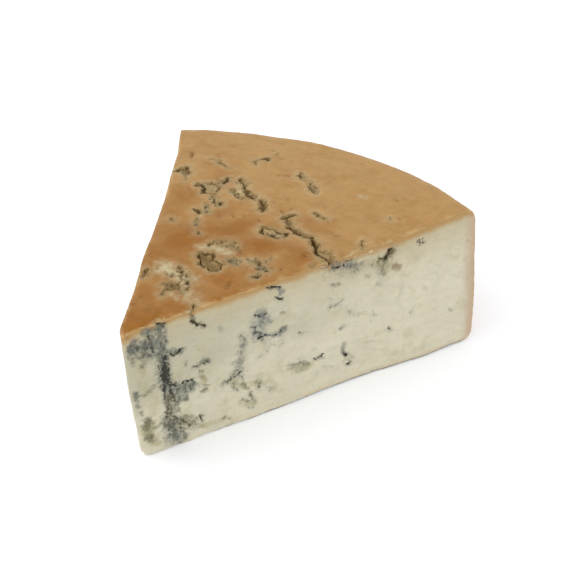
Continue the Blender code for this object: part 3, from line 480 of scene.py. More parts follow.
    ("dark", [(71, 35.2), (72.6, 35.2)], 0.5, 0.45, 0.2),
    ("haze", [(74.6, 30), (78, 27)], 1.6, 0.35, 0.0),
    ("haze", [(71.6, 24.2), (72.6, 24.8)], 1.2, 0.6, 0.1),
    ("haze", [(84, 27), (85, 25)], 1.1, 0.35, 0.0),
    ("haze", [(82, 42.4), (83.2, 41.6)], 1.1, 0.5, 0.1),
    ("haze", [(86, 38), (87.2, 36.6)], 1.2, 0.3, 0.0),
    ("haze", [(83, 23), (84, 22.6)], 1.1, 0.25, 0.0),
    # the stain below the end of the main crack
    ("haze", [(69.6, 50), (73.8, 49.4), (77.6, 48), (79.4, 47)], 2.5, 0.66, 0.4),
    ("blue", [(71, 47.6), (78, 46)], 3.6, 0.28, 0.0),
    ("haze", [(66, 51.4), (70, 50.6)], 1.5, 0.5, 0.0),
    ("dark", [(69.6, 49.6), (72, 49), (74, 48.8)], 0.6, 0.75, 0.8),
    ("dark", [(74.4, 50.2), (75.6, 50.2), (77, 50)], 0.5, 0.7, 0.6),
    ("brown", [(79.4, 48.4), (82, 48.2)], 1.2, 0.4, 0.2),
    # the dark green pocket
    ("dark", [(91.4, 49), (90.6, 47.4), (89.8, 46.6)], 1.1, 0.9, 1.7),
    ("dark", [(88.4, 46.9), (87, 47.8), (86.7, 46)], 0.7, 0.51, 0.9),
    ("dark", [(86.8, 45.4), (88, 43.4), (88.8, 42)], 0.6, 0.39, 0.7),
    ("grey", [(92, 48.9), (90.8, 47.6), (89.6, 46.8)], 2.9, 0.9, 0.6),
    ("olive", [(91.4, 48), (89.4, 45.6), (88, 42.4)], 2.8, 0.62, 0.6),
    ("haze", [(84, 46.6), (86.4, 44.6)], 2.3, 0.39, 0.1),
    ("stain", [(86, 47), (90, 43)], 4.0, 0.7, 0.0),
    ("brown", [(93.2, 42.4), (94.2, 41.5)], 3.0, 0.8, 0.3),
    ("stain", [(92.6, 42.4), (95, 41.4)], 2.6, 0.6, 0.0),
    ("olive", [(90.6, 43.6), (93, 41.4)], 2.0, 0.35, 0.1),
    ("dark", [(102, 49.6), (103.8, 47.8)], 0.5, 0.75, 0.4),
    ("dark", [(103.6, 49.4), (102.2, 47.6)], 0.45, 0.65, 0.4),
    ("olive", [(102, 48.8), (104.4, 48)], 1.1, 0.5, 0.1),
    # the pit near the base
    ("dark", [(73, 12), (73.5, 11.2)], 0.85, 1.0, 0.9),
    ("dark", [(73.4, 7.2), (74.6, 7)], 0.75, 0.9, 0.7),
    ("dark", [(72.8, 11), (72.6, 8.6)], 0.4, 0.6, 0.4),
    ("olive", [(73.6, 10.8), (74.8, 8)], 1.5, 0.4, 0.5),
    ("haze", [(72.8, 17), (72, 14), (72.6, 12)], 1.2, 0.6, 0.1),
    ("haze", [(74.6, 10.6), (76.4, 9)], 1.2, 0.35, 0.1),
    ("brown", [(81.6, 14), (83.4, 13.8), (85, 13)], 1.1, 0.4, 0.1),
    ("dark", [(90.6, 17), (91.2, 16.4)], 0.7, 0.75, 0.4),
    ("haze", [(98.4, 21.4), (99.6, 20.8)], 1.0, 0.3, 0.0),
    ("dark", [(114.7, 16.8), (115.3, 16.2)], 0.5, 0.55, 0.3),
    ("brown", [(121.8, 42.4), (122.4, 41.6)], 0.8, 0.6, 0.2),
    # crumbs on the arris and along the foot
    ("crumb", [(65, 51.7), (66.2, 51.5)], 0.6, 0.8, -0.3),
    ("crumb", [(74.2, 51.9), (74.8, 52.2)], 0.4, 0.5, -0.2),
    ("crumb", [(77.8, 51.8), (78.3, 51.5)], 0.5, 0.6, -0.3),
    ("crumb", [(80.6, 51.9), (80.9, 51.4)], 0.4, 0.5, -0.3),
    ("crumb", [(83.2, 51.4), (84.4, 51.7)], 0.5, 0.7, -0.3),
    ("crumb", [(47.8, 4.2), (48.6, 3.4)], 0.6, 0.9, -0.3),
    ("crumb", [(49.4, 2.6), (50.8, 1.8)], 0.6, 0.9, -0.3),
    ("crumb", [(44.6, 1.6), (46, 1.4)], 0.5, 0.8, -0.2),
    ("crumb", [(55.6, 1.4), (57, 1.8)], 0.5, 0.8, -0.2),
    ("crumb", [(61.6, 1), (62.4, 1.6)], 0.5, 0.7, -0.2),
    ("crumb", [(75.8, 3.2), (77.4, 2.6)], 0.7, 0.9, -0.3),
    ("crumb", [(77.8, 1.8), (78.6, 1.4)], 0.5, 0.8, -0.2),
    ("crumb", [(88, 1), (89.4, 1.2)], 0.5, 0.7, -0.2),
    ("crumb", [(36, 1.2), (37.4, 1)], 0.5, 0.7, -0.2),
]


# falls smoothly from one to nothing as the share goes from nothing to one
def fading(share):
    share = np.clip(share, 0, 1)
    return 1 - share * share * (3 - 2 * share)


def smoothNoise(points, size, seed):
    shift = Vector((seed * 17.3, seed * 5.1, seed * 9.7))
    return np.array([noise.noise(Vector(p) / size + shift) for p in points])


# noises added up; each has a size, an amount and a seed
def layered(points, layers):
    return sum(smoothNoise(points, size, seed) * amount for size, amount, seed in layers)


# how far from the wheel's axis the rounded tip starts
def tipDistance(angle):
    beside = tipCentre * math.sin(angle)
    return tipCentre * math.cos(angle) - math.sqrt(max(wheel["tipRounding"]**2 - beside**2, 0))


# the rim from the top down: a rounded shoulder, the side, and the rounding at its foot
def rimProfile():
    points = []
    top, bottom = wheel["topShoulder"], wheel["bottomShoulder"]
    for step in range(skin["shoulderSteps"]):
        turn = math.pi / 2 * (1 - step / skin["shoulderSteps"])
        height = wheelHeight - top + top * math.sin(turn)
        points.append((wheelRadius - top + top * math.cos(turn), height))
    for step in range(skin["sideSteps"]):
        share = step / skin["sideSteps"]
        height = (wheelHeight - top) * (1 - share) + bottom * share
        points.append((wheelRadius + wheel["sideBulge"] * math.sin(math.pi * share), height))
    for step in range(skin["footSteps"] + 1):
        turn = math.pi / 2 * step / skin["footSteps"]
        height = bottom * (1 - math.sin(turn))
        points.append((wheelRadius - bottom + bottom * math.cos(turn), height))
    return points


# a fan of rows over the top, then the rim, the tip and both cuts down to one base face
def skinMesh():
    radialSteps, tipSteps = skin["radialSteps"], skin["tipSteps"]
    profile = rimProfile()
    lastRow = len(profile) - 1
    shape = bmesh.new()
    made = {}

    def vertex(step, column, row):
        key = (step, column, row)
        if key not in made:
            angle = -half + wheel["angle"] * column / (tipSteps + step)
            start = tipDistance(angle)
            radius, height = profile[row]
            reach = start + (radius - start) * step / radialSteps
            made[key] = shape.verts.new((reach * math.sin(angle), reach * math.cos(angle), height))
        return made[key]

    for step in range(radialSteps):
        for column in range(tipSteps + step + 1):
            outer = vertex(step + 1, column, 0), vertex(step + 1, column + 1, 0)
            shape.faces.new((vertex(step, column, 0), *outer))
            if column < tipSteps + step:
                shape.faces.new((vertex(step, column, 0), outer[1], vertex(step, column + 1, 0)))
    for row in range(lastRow):
        for column in range(tipSteps + radialSteps):
            shape.faces.new([vertex(radialSteps, column + a, row + b)
                             for a, b in ((0, 0), (0, 1), (1, 1), (1, 0))])
        for column in range(tipSteps):
            shape.faces.new([vertex(0, column + a, row + b) for a, b in ((0, 0), (1, 0), (1, 1), (0, 1))])
        for step in range(radialSteps):
            for edgeOf in (lambda s: 0, lambda s: tipSteps + s):
                shape.faces.new([vertex(s, edgeOf(s), r) for s, r in (
                    (step, row), (step + 1, row), (step + 1, row + 1), (step, row + 1))])
    outline = [vertex(0, column, lastRow) for column in range(tipSteps + 1)]
    outline += [vertex(step, tipSteps + step, lastRow) for step in range(1, radialSteps + 1)]
    outline += [vertex(radialSteps, column, lastRow)
                for column in range(tipSteps + radialSteps - 1, -1, -1)]
    outline += [vertex(step, 0, lastRow) for step in range(radialSteps - 1, 0, -1)]
    base = shape.faces.new(outline)
    bmesh.ops.recalc_face_normals(shape, faces=shape.faces)
    bmesh.ops.inset_region(shape, faces=[base], thickness=skin["baseRing"], use_even_offset=True)
    bmesh.ops.triangulate(shape, faces=[f for f in shape.faces if len(f.verts) == 4])
    return shape


# the distance of each point from a route given in millimetres
def routeDistance(points, route):
    route = np.array(route, float) * mm
    best = np.full(len(points), np.inf)
    for start, end in zip(route[:-1], route[1:]):
        span = end - start
        share = np.clip((points - start) @ span / (span @ span), 0, 1)
        best = np.minimum(best, np.linalg.norm(points - start - share[:, None] * span, axis=1))
    return best


# the left cut and the rim aren't shown: veins and spots like the ones that show, from a seeded draw
drawn = {
    "left": {"veins": 15, "spots": 34, "low": (10, 6), "high": (112, 44), "seed": 21},
    "rim": {"veins": 4, "spots": 44, "low": (-50, 9), "high": (44, 42), "seed": 22},
    "veinStart": (0.9, 2.2),
    "veinTurn": (-0.7, 0.7),
    "veinStep": 2.6,
    "veinSteps": (2, 5),
    "veinPast": 4,  # how far a vein may leave its field
    "veinHaze": ((1.4, 2.6), (0.5, 0.9), 0.2),  # width, strength and depth
    "veinDark": ((0.5, 0.9), (0.7, 1.0), 0.7),
    "veinAside": 0.3,
    "spot": ((0.6, 1.4), (0.4, 0.8), 0.3),
    "spotKinds": ("olive", "haze", "dark", "olive"),
    "spotTurn": (-3, 3),
    "spotLength": (0.8, 3),
}


def drawnMarks(veins, spots, low, high, seed):
    draw = random.Random(seed)
    marks = []

    def place():
        return draw.uniform(low[0], high[0]), draw.uniform(low[1], high[1])

    def add(kind, route, form):
        width, strength, depth = form
        marks.append((kind, route, draw.uniform(*width), draw.uniform(*strength), depth))

    step, past = drawn["veinStep"], drawn["veinPast"]
    for _ in range(veins):
        x, y = place()
        turn = draw.uniform(*drawn["veinStart"])
        route = [(x, y)]
        for _step in range(draw.randint(*drawn["veinSteps"])):
            turn += draw.uniform(*drawn["veinTurn"])
            x, y = x + step * math.cos(turn), y + step * math.sin(turn)
            route.append((x, min(max(y, low[1] - past), high[1] + past)))
        add("haze", route, drawn["veinHaze"])
        add("dark", [(a + drawn["veinAside"], b) for a, b in route], drawn["veinDark"])
    for _ in range(spots):
        x, y = place()
        turn, length = draw.uniform(*drawn["spotTurn"]), draw.uniform(*drawn["spotLength"])
        kind = draw.choice(drawn["spotKinds"])
        end = x + length * math.cos(turn), y + length * math.sin(turn)
        add(kind, [(x, y), end], drawn["spot"])
    return marks


leftMarks = drawnMarks(**drawn["left"])
rimMarks = drawnMarks(**drawn["rim"])


# how far the skin near the tip is pushed out, most half way down and less at the foot
def tipPushed(foot, radius):
    push = wheel["tipPush"] + wheel["tipBulge"] * np.sin(math.pi * foot)
    push = push - wheel["tipTuck"] * fading((1 - foot) * wheelHeight / wheel["tipTuckRise"])
    return push * fading(radius / wheel["tipReach"])


# how much the top rises towards the rim
def rimLip(plan):
    start = wheel["rimLipStart"]
    outwards = (np.linalg.norm(plan, axis=1) - start) / (wheelRadius - start)
    return wheel["rimLip"] * (1 - fading(outwards))


# how much the top rises or dips in all
def topRise(plan):
    rise = rimLip(plan)
    for x, y, reach, most in swells:
        gap = np.linalg.norm(plan - np.array((x, y)) * mm, axis=1)
        rise = rise + most * mm * np.exp(-((gap / (reach * mm)) ** 2))
    return rise


# where a point of the top lies in the layout of its marks
def topLayout(plan):
    rise = wheelHeight - layout["height"] + topRise(plan)
    across, back, growth = layout["riseDrift"]
    drift = rise[:, None] * np.column_stack([np.full(len(plan), across), back + growth * plan[:, 1]])
    drift[:, 1] -= tipPushed(np.zeros(len(plan)), np.linalg.norm(plan, axis=1))
    return plan + drift


# where a point of the right cut lies in the layout of its marks
def rightLayout(plan, height):
    along = plan @ rightAlong
    foot = np.clip(1 - height / wheelHeight, 0, 1)
    outwards = np.clip(along / wheelRadius, 0, 1)
    push = tipPushed(foot, np.linalg.norm(plan, axis=1))
    atTip, atRim = layout["cutSlide"]
    slide = foot * (atTip * (1 - outwards) + atRim * outwards) + layout["pushSlide"] * push
    atTip, atRim = layout["cutSink"]
    sink = foot * (atTip * (1 - outwards) + atRim * outwards) + layout["pushSink"] * push
    risen = height - sink + layout["lipLift"] * rimLip(plan) * (1 - foot)
    return np.stack([along - slide, risen], axis=1)


# each face with marks: its layout, how far inside it the points are, and its marks
def facesOf(points):
    plan, height = points[:, :2], points[:, 2]
    radius = np.linalg.norm(plan, axis=1)
    roundRim = np.arctan2(plan[:, 0], plan[:, 1]) * wheelRadius
    return {
        "top": (topLayout(plan), wheelHeight - height, topMarks),
        "right": (rightLayout(plan, height), -(plan @ rightOut), rightMarks),
        "left": (np.stack([plan @ leftAlong, height], axis=1), -(plan @ leftOut), leftMarks),
        "rim": (np.stack([roundRim, height], axis=1), wheelRadius - radius, rimMarks),
    }


# splits the skin's edges close to marks of these kinds
def refineNear(shape, longest, kinds, margin):
    base = max(shape.faces, key=lambda face: len(face.verts))
    edges = [e for e in shape.edges if e.calc_length() > longest]
    middles = np.array([(e.verts[0].co + e.verts[1].co) / 2 for e in edges])
    near = np.zeros(len(edges), bool)
    for flat, inside, marks in facesOf(middles).values():
        onFace = np.nonzero((inside < skin["markBand"]) & (middles[:, 2] > mm))[0]
        for kind, route, width, _strength, _depth in marks:
            if kind in kinds:
                hit = routeDistance(flat[onFace], route) < (width + margin) * mm
                near[onFace[hit]] = True
    chosen = [e for e, wanted in zip(edges, near) if wanted]
    bmesh.ops.subdivide_edges(shape, edges=chosen, cuts=1)
    bmesh.ops.triangulate(shape, faces=[f for f in shape.faces if f != base and len(f.verts) > 3])


# leans the cuts, spreads their foot towards the rim and swells the tip
def lean(points):
    plan, height = points[:, :2].copy(), points[:, 2].copy()
    foot = np.clip(1 - height / wheelHeight, 0, 1)
    radius = np.linalg.norm(plan, axis=1)
    outwards = np.clip(radius / wheelRadius, 0, 1)
    turned = np.arctan2(plan[:, 0], np.maximum(plan[:, 1], 1e-6)) / half
    right, left = np.clip((1 + turned) / 2, 0, 1), np.clip((1 - turned) / 2, 0, 1)
    moved = plan + (foot * (1 - outwards))[:, None] * np.array(wheel["tipFoot"])
    lineAlong, lineOut = zip(*wheel["footLine"])
    line = np.interp(plan @ rightAlong / mm, lineAlong, lineOut) * mm
    spread = (foot * outwards * wheel["rimFootSpread"] + foot**2 * line) * right ** wheel["spreadEase"]
    moved += spread[:, None] * rightOut
    moved += (foot * outwards * left ** wheel["spreadEase"] * wheel["leftFootSpread"])[:, None] * leftOut
    moved[:, 1] -= tipPushed(foot, radius)
    start = wheel["leftHollowStart"]
    beyond = np.clip((radius - start) / (wheelRadius - start), 0, 1)
    hollow = wheel["leftHollow"] * np.sin(math.pi * beyond) * left ** wheel["leftHollowEase"]
    moved -= hollow[:, None] * leftOut
    upper = np.clip(height / wheelHeight, 0, 1) ** wheel["tipDroopEase"]
    height -= wheel["tipDroop"] * upper * fading(radius / wheel["tipDroopReach"])
    return np.column_stack([moved, height])


# one on a face, falling to nothing at this reach inside it
def nearFace(inside, reach):
    return fading(np.maximum(inside, 0) / reach)


# slow waves over the top and both cuts
def uneven(points):
    waves = layered(points, wheel["waves"])
    plan, reach = points[:, :2], wheel["waveReach"]
    moved = points.copy()
    for out in (rightOut, leftOut):
        moved[:, :2] += (waves * nearFace(-(plan @ out), reach))[:, None] * out
    moved[:, 2] += waves * nearFace(wheelHeight - points[:, 2], reach)
    return moved


fieldNames = ("core", "haze", "olive", "blue", "brown", "pale", "grey", "stain", "speck", "crumb")
# What each kind of mark leaves on the skin: a field, its reach as a multiple of the mark's width,
# millimetres added to that, and its strength
markTraces = {
    "darkOnRind": [("core", 1.3, 0.3, 1.0), ("haze", 1.5, 1.0, 0.7)],
    "dark": [("core", 1.35, 0.25, 1.12), ("haze", 1.5, 0.9, 0.6)],
    "cluster": [("speck", 1, 0, 0.75), ("stain", 1.1, 0, 0.45), ("pale", 1.3, 0, 0.6)],
    "haze": [("haze", 1.5, 0, 1.0)],
    "blue": [("haze", 1.5, 0, 1.0), ("blue", 2.0, 0, 1.0)],
    "olive": [("haze", 1.5, 0, 0.85), ("olive", 2.0, 0, 1.0)],
    "roundOnRind": [("speck", 1, 1.7, 0.85), ("stain", 1, 2.2, 0.75), ("pale", 1, 3.2, 0.5)],
    "roundOnPaste": [("speck", 1, 0.9, 0.5)],
}
# how a mark's edge wanders and how it cuts in, with a low lip beside it
marking = {
    "wideWander": (0.0030, 0.0006),  # size and amount
    "fineWander": (0.0010, 0.0006),
    "swelling": (0.0017, 0.5),
    "edge": 0.0006,
    "fade": 0.0075,
    "lipPlace": 1.5,
    "lipReach": 0.7,
    "lipLift": 0.16,
}


# adds one mark to the fields: a dark core with soft mould round it, mould alone, or a stain
def addMark(fields, kind, distance, width, strength, onRind):
    traces = list(markTraces["darkOnRind" if kind == "dark" and onRind else kind]
                  if kind in markTraces else [(kind, 1, 0, 1.0)])
    if onRind and kind in ("dark", "haze", "olive", "grey"):
        traces += markTraces["roundOnRind"]
    elif kind in ("dark", "haze", "olive", "blue"):
        traces += markTraces["roundOnPaste"]
    for name, times, more, amount in traces:
        values = amount * strength * fading(distance / ((width * times + more) * mm))
        fields[name] = np.maximum(fields[name], values)


# the fields of colour at each point, and for each face how deep its marks cut
def markFields(points):
    fields = {name: np.zeros(len(points)) for name in fieldNames}
    depths = {}
    for name, (flat, inside, marks) in facesOf(points).items():
        onFace = np.nonzero(inside < marking["fade"])[0]
        near = flat[onFace]
        lifted = [(p[0], p[1], 0.0) for p in near]
        size, amount = marking["wideWander"]
        wide = np.stack([smoothNoise(lifted, size, s) for s in (1.0, 2.0)], axis=1) * amount
        size, amount = marking["fineWander"]
        fine = np.stack([smoothNoise(lifted, size, s) for s in (5.0, 6.0)], axis=1) * amount
        size, amount = marking["swelling"]
        swelling = 1 + amount * smoothNoise(lifted, size, 7.0)
        near = near + wide + fine
        surface = nearFace(inside[onFace], marking["edge"])
        depth, lift = np.zeros(len(onFace)), np.zeros(len(onFace))
        here = {field: np.zeros(len(onFace)) for field in fieldNames}
        for kind, route, width, strength, deep in marks:
            distance = routeDistance(near, route) / swelling
            shape = fading(distance / (width * mm))
            if deep > 0:
                depth = np.maximum(depth, deep * mm * shape)
                beside = 1 - np.abs(distance / (width * mm) - marking["lipPlace"]) / marking["lipReach"]
                lift = np.maximum(lift, marking["lipLift"] * deep * mm * (1 - fading(beside)))
            else:
                depth += deep * mm * shape
            addMark(here, kind, distance, width, strength, name in ("top", "rim"))
        for field, values in here.items():
            fields[field][onFace] = np.maximum(fields[field][onFace], values * surface)
        cut = np.where(depth > lift, depth, depth - lift) * nearFace(inside[onFace], marking["fade"])
        depths[name] = np.zeros(len(points))
        depths[name][onFace] = cut
    return fields, depths


# sinks the marks into the faces they lie on
def marked(points, depths):
    moved = points.copy()
    radius = np.maximum(np.linalg.norm(points[:, :2], axis=1), mm)
    fromAxis = np.column_stack([points[:, :2] / radius[:, None], np.zeros(len(points))])
    outwards = {"top": (0, 0, 1), "right": (*rightOut, 0), "left": (*leftOut, 0), "rim": fromAxis}
    for name, out in outwards.items():
        moved -= depths[name][:, None] * np.array(out)
    return moved


# the top's rise and fall, the chips and the soft arrises
def worn(points, start):
    moved = points.copy()
    plan = start[:, :2]
    underTop = wheelHeight - start[:, 2]
    inRight, inLeft = -(plan @ rightOut), -(plan @ leftOut)
    moved[:, 2] += topRise(plan) * nearFace(underTop, wheelHeight)
    for along, length, bite in chips:
        spread = wheel["chipSpread"] * bite * mm
        taken = fading(np.abs(plan @ rightAlong - along * mm) / (length * mm))
        taken *= nearFace(underTop, spread) * nearFace(inRight, spread) * bite * mm
        moved -= taken[:, None] * np.array((*rightOut * wheel["chipOut"], wheel["chipDown"]))
    for inside in (inRight, inLeft):
        reach = wheel["arrisReach"]
        moved[:, 2] -= wheel["arrisSoftness"] * nearFace(inside, reach) * nearFace(underTop, reach)
    return moved


# where the rind is deep orange: x, y and reach in millimetres, and how deep
deepPatches = [
    (-15, 47, 15, 1.0),
    (-2, 61, 9, 0.9),
    (25, 57, 9, 1.0),
    (11, 35, 8, 1.0),
    (0, 9, 13, 1.0),
    (12, 57, 9, 0.9),
    (-27, 84, 7, 0.5),
    (-30, 68, 9, 0.6),
    (-12, 21, 7, 0.7),
    (-34, 87, 6, 0.35),
    (-42, 99, 8, 0.25),
]
# how the tones change over the skin; depths, places and reaches in millimetres
toneForm = {
    "tipSpan": 6,  # the rounded tip counts as cut
    "tipMargin": 0.02,
    "cutMargin": 0.05,
    "wobble": [(0.004, 0.5, 8.0), (0.0012, 0.35, 9.0)],  # size in metres, amount and seed
    "edgeSpan": 6,
    "crestReach": 1.3,  # the painted highlight along the arris, a broken pale line that is partly crumbs
    "crestBand": 8,
    "footShadowReach": 1.1,  # painted contact shadow at the foot of a cut, partly the thin bottom rind seen edge-on
    "footShadowEase": 50,
    "footShadowLeast": 0.4,
    "overFootHighlight": 1.5,  # the painted highlight over it, on the lit bottom edge of the paste
    "overFootTone": 0.8,
    "overFootEase": 40,
    "sectionDepth": 3.0,  # the rind where it is cut through
    "sectionMore": 1.6,
    "sectionTip": 9,
    "sectionWobble": 0.5,
    "rimDepth": 5.5,
    "rimWobble": 0.3,
    "warmDepth": 12,  # the warmer paste below the rind
    "warmMore": 7,
    "warmFrom": 50,
    "warmEase": 40,
    "warmTone": 0.95,
    "warmWobble": 0.4,
    "warmFoot": 2.2,  # and along the foot
    "warmFootTone": 0.8,
    "warmFootEase": 100,
    "bareReach": 1.2,  # paste that a chip lays bare, as multiples of its bite and length
    "bareLength": 0.9,
    "bareTone": 0.8,
    "bareWobble": 0.8,
    "coolReach": 120,  # the cooler paste, high up and towards the tip
    "coolFrom": 12,
    "coolSpan": 22,
    "coolTip": 0.12,
    "coolTipReach": 20,
    "coolDrift": [(0.011, 0.2, 16.0)],
    "tanFrom": 45,  # the rind turns tan from here outwards
    "tanSpan": 50,
    "innerTone": 0.75,
    "toneDrift": [(0.012, 0.16, 11.0), (0.004, 0.08, 12.0)],
    "sideFrom": 3,  # the rim's rind
    "sideTone": 0.35,
    "sideDrift": [(0.015, 0.3, 13.0)],
}


# how far a point on a cut lies inside the rind's outline
def rindGap(radius, height):
    gap = np.minimum(wheelHeight - height, wheelRadius - radius)
    for corner, rise in ((wheel["topShoulder"], wheelHeight - height), (wheel["bottomShoulder"], height)):
        outwards, upwards = radius - (wheelRadius - corner), corner - rise
        gap = np.where((outwards > 0) & (upwards > 0), corner - np.hypot(outwards, upwards), gap)
    return gap


# how far a point lies inside the rounded tip
def tipGap(plan):
    fromCentre = np.linalg.norm(plan - np.array((0, tipCentre)), axis=1)
    return np.where(plan[:, 1] < tipCentre, wheel["tipRounding"] - fromCentre, np.inf)


# rises evenly from nothing to one over a span in millimetres
def rising(distance, span):
    return np.clip(distance / (span * mm), 0, 1)


# where the skin is rind, its cut edge or laid bare, and how the paste's tone drifts
def cutFields(points):
    form = toneForm
    plan, height = points[:, :2], points[:, 2]
    radius = np.linalg.norm(plan, axis=1)
    along = plan @ rightAlong
    inRight, inLeft = -(plan @ rightOut), -(plan @ leftOut)
    underTop = wheelHeight - height
    onTip = (radius < form["tipSpan"] * mm) & (np.minimum(underTop, height) > form["tipMargin"] * mm)
    onCut = (np.minimum(inRight, inLeft) < form["cutMargin"] * mm) | onTip
    wobble = layered(points, form["wobble"])
    inside = np.minimum(np.minimum(inRight, inLeft), tipGap(plan))
    fromRind = rindGap(radius, height)
    fields = {"rind": 0.5 + np.where(onCut, -fromRind, inside) / (form["edgeSpan"] * mm)}
    # painted highlight along the arris, partly crumbly paste
    crest = fading(np.where(onCut, fromRind, inside) / (form["crestReach"] * mm))
    crest = np.where(underTop < form["crestBand"] * mm, crest, 0)
    # painted highlight on the lit edge just above the foot
    overFootHighlight = form["overFootTone"] * fading(np.abs(height - form["overFootHighlight"] * mm) / mm)
    overFootHighlight *= rising(along, form["overFootEase"])
    fields["crest"] = np.maximum(crest, np.where(onCut, overFootHighlight, 0))
    # painted contact shadow along the foot of each cut, partly the thin bottom rind seen edge-on
    foot = np.where(onCut, fading(height / (form["footShadowReach"] * mm)), 0)
    fields["foot"] = foot * np.maximum(rising(along, form["footShadowEase"]), form["footShadowLeast"])
    atRim, atTip = np.clip(along / wheelRadius, 0, 1), fading(radius / (form["sectionTip"] * mm))
    depth = form["sectionDepth"] + form["sectionMore"] * atRim + form["sectionMore"] * atTip
    depth = depth * mm * (1 + form["sectionWobble"] * wobble)
    fields["section"] = np.where(onCut, fading((underTop / depth) ** 2), 0)
    depth = form["rimDepth"] * mm * (1 + form["rimWobble"] * wobble)
    fields["rim"] = np.where(onCut, fading((wheelRadius - radius) / depth), 0)
    farther = rising(along - form["warmFrom"] * mm, form["warmEase"])
    depth = (form["warmDepth"] + form["warmMore"] * farther) * mm * (1 + form["warmWobble"] * wobble)
    warm = form["warmTone"] * fading(underTop / depth)
    warmFoot = form["warmFootTone"] * fading(height / (form["warmFoot"] * mm))
    warmFoot *= rising(along, form["warmFootEase"]) ** 4
    fields["warm"] = np.where(onCut, np.maximum(warm, warmFoot), 0)
    fields["bare"] = np.zeros(len(points))
    gap = np.hypot(np.maximum(inRight, 0), np.maximum(underTop, 0))
    for place, length, bite in chips:
        across = fading(np.abs(along - place * mm) / (length * mm * form["bareLength"]))
        depth = form["bareReach"] * bite * mm * (1 + form["bareWobble"] * wobble)
        fields["bare"] = np.maximum(fields["bare"], form["bareTone"] * across * fading(gap / depth))
    cool = 1 - fading((height - form["coolFrom"] * mm) / (form["coolSpan"] * mm))
    cool *= fading(radius / (form["coolReach"] * mm))
    cool += form["coolTip"] * fading(radius / (form["coolTipReach"] * mm))
    fields["cool"] = cool + layered(points, form["coolDrift"])
    return fields


# how far the rind has turned from tan to deep orange
def rindTone(points):
    plan, underTop = points[:, :2], wheelHeight - points[:, 2]
    outwards = np.linalg.norm(plan, axis=1) - toneForm["tanFrom"] * mm
    tone = toneForm["innerTone"] * fading(outwards / (toneForm["tanSpan"] * mm))
    for x, y, reach, amount in deepPatches:
        gap = np.linalg.norm(plan - np.array((x, y)) * mm, axis=1)
        tone = np.maximum(tone, amount * np.exp(-((gap / (reach * mm)) ** 2)))
    tone += layered(points, toneForm["toneDrift"])
    onSide = toneForm["sideTone"] + layered(points, toneForm["sideDrift"])
    return np.where(underTop > toneForm["sideFrom"] * mm, onSide, np.clip(tone, 0, 1))


def storeField(mesh, name, values):
    field = mesh.attributes.new(name, "FLOAT", "POINT")
    field.data.foreach_set("value", np.clip(values, 0, skin["fieldMost"]).astype(np.float32))


def makeWedge():
    shape = skinMesh()
    print("skin", len(shape.faces))
    kinds = ("dark", "haze", "olive", "brown", "blue", "grey", "crumb")
    refineNear(shape, skin["markEdge"], kinds, skin["markMargin"])
    refineNear(shape, skin["crackEdge"], ("dark", "crumb"), skin["crackMargin"])
    print("refined", len(shape.faces))
    points = np.array([v.co for v in shape.verts])
    stains, depths = markFields(points)
    fields = {**stains, **cutFields(points), "tone": rindTone(points)}
    rough = layered(points, wheel["roughness"])
    plain = uneven(points)
    shaped = lean(worn(marked(plain, depths), plain))
    for v, place in zip(shape.verts, shaped):
        v.co = place
    shape.normal_update()
    normals = np.array([v.normal for v in shape.verts])
    shaped += rough[:, None] * normals
    # the foot of each cut stands a hair off the ground
    plan = points[:, :2]
    inside = np.minimum(np.minimum(-(plan @ rightOut), -(plan @ leftOut)), tipGap(plan))
    drift = 1 + layered(points, wheel["footGapDrift"])
    footGap = wheel["footGap"] * np.clip(drift, *wheel["footGapShares"])
    footGap *= nearFace(inside, wheel["footGapReach"])
    onFloor = points[:, 2] < skin["floorMargin"]
    shaped[:, 2] = np.where(onFloor, footGap, np.maximum(shaped[:, 2], footGap))
    middle = (shaped.min(0) + shaped.max(0)) / 2
    cadMiddle = (np.array(nodeBox[0]) + np.array(nodeBox[1])) / 2
    shaped[:, :2] += cadMiddle[:2] - middle[:2]
    for v, place in zip(shape.verts, shaped):
        v.co = place
    mesh = bpy.data.meshes.new("cheeseWedge")
    shape.to_mesh(mesh)
    shape.free()
    for name, values in fields.items():
        storeField(mesh, name, values)
    mesh.shade_smooth()
    mesh.set_sharp_from_angle(angle=skin["sharpAngle"])
    wedge = bpy.data.objects.new("cheeseWedge", mesh)
    bpy.context.scene.collection.objects.link(wedge)
    print("wedge", len(mesh.vertices), "points", len(mesh.polygons), "faces")
    return wedge, middle[:2] - cadMiddle[:2]


# axisShift brings a place in the frame back to the wheel's own axis
wedge, axisShift = makeWedge()


# materials
def srgb(red, green, blue):
    def channel(value):
        value /= 255
        return value / 12.92 if value <= 0.04045 else ((value + 0.055) / 1.055) ** 2.4
    return (channel(red), channel(green), channel(blue), 1)


# adds a node; its inputs go by name, or by number as i0, i1
def addNode(tree, kind, settings=None, **inputs):
    node = tree.nodes.new(kind)
    for name, value in (settings or {}).items():
        setattr(node, name, value)
    for name, value in inputs.items():
        numbered = name[0] == "i" and name[1:].isdigit()
        socket = node.inputs[int(name[1:]) if numbered else name.replace("_", " ")]
        if isinstance(value, bpy.types.NodeSocket):
            tree.links.new(value, socket)
        else:
            socket.default_value = value
    return node


def mixColour(tree, fac, a, b, blend="MIX"):
    node = tree.nodes.new("ShaderNodeMix")
    node.data_type = "RGBA"
    node.blend_type = blend
    for socket, value in ((node.inputs[0], fac), (node.inputs[6], a), (node.inputs[7], b)):
        if isinstance(value, bpy.types.NodeSocket):
            tree.links.new(value, socket)
        else:
            socket.default_value = value
    return node.outputs[2]


def maths(tree, operation, a, b=0.0, clamp=False):
    node = tree.nodes.new("ShaderNodeMath")
    node.operation = operation
    node.use_clamp = clamp
    for socket, value in zip(node.inputs, (a, b)):
        if isinstance(value, bpy.types.NodeSocket):
            tree.links.new(value, socket)
        else:
            socket.default_value = value
    return node.outputs[0]


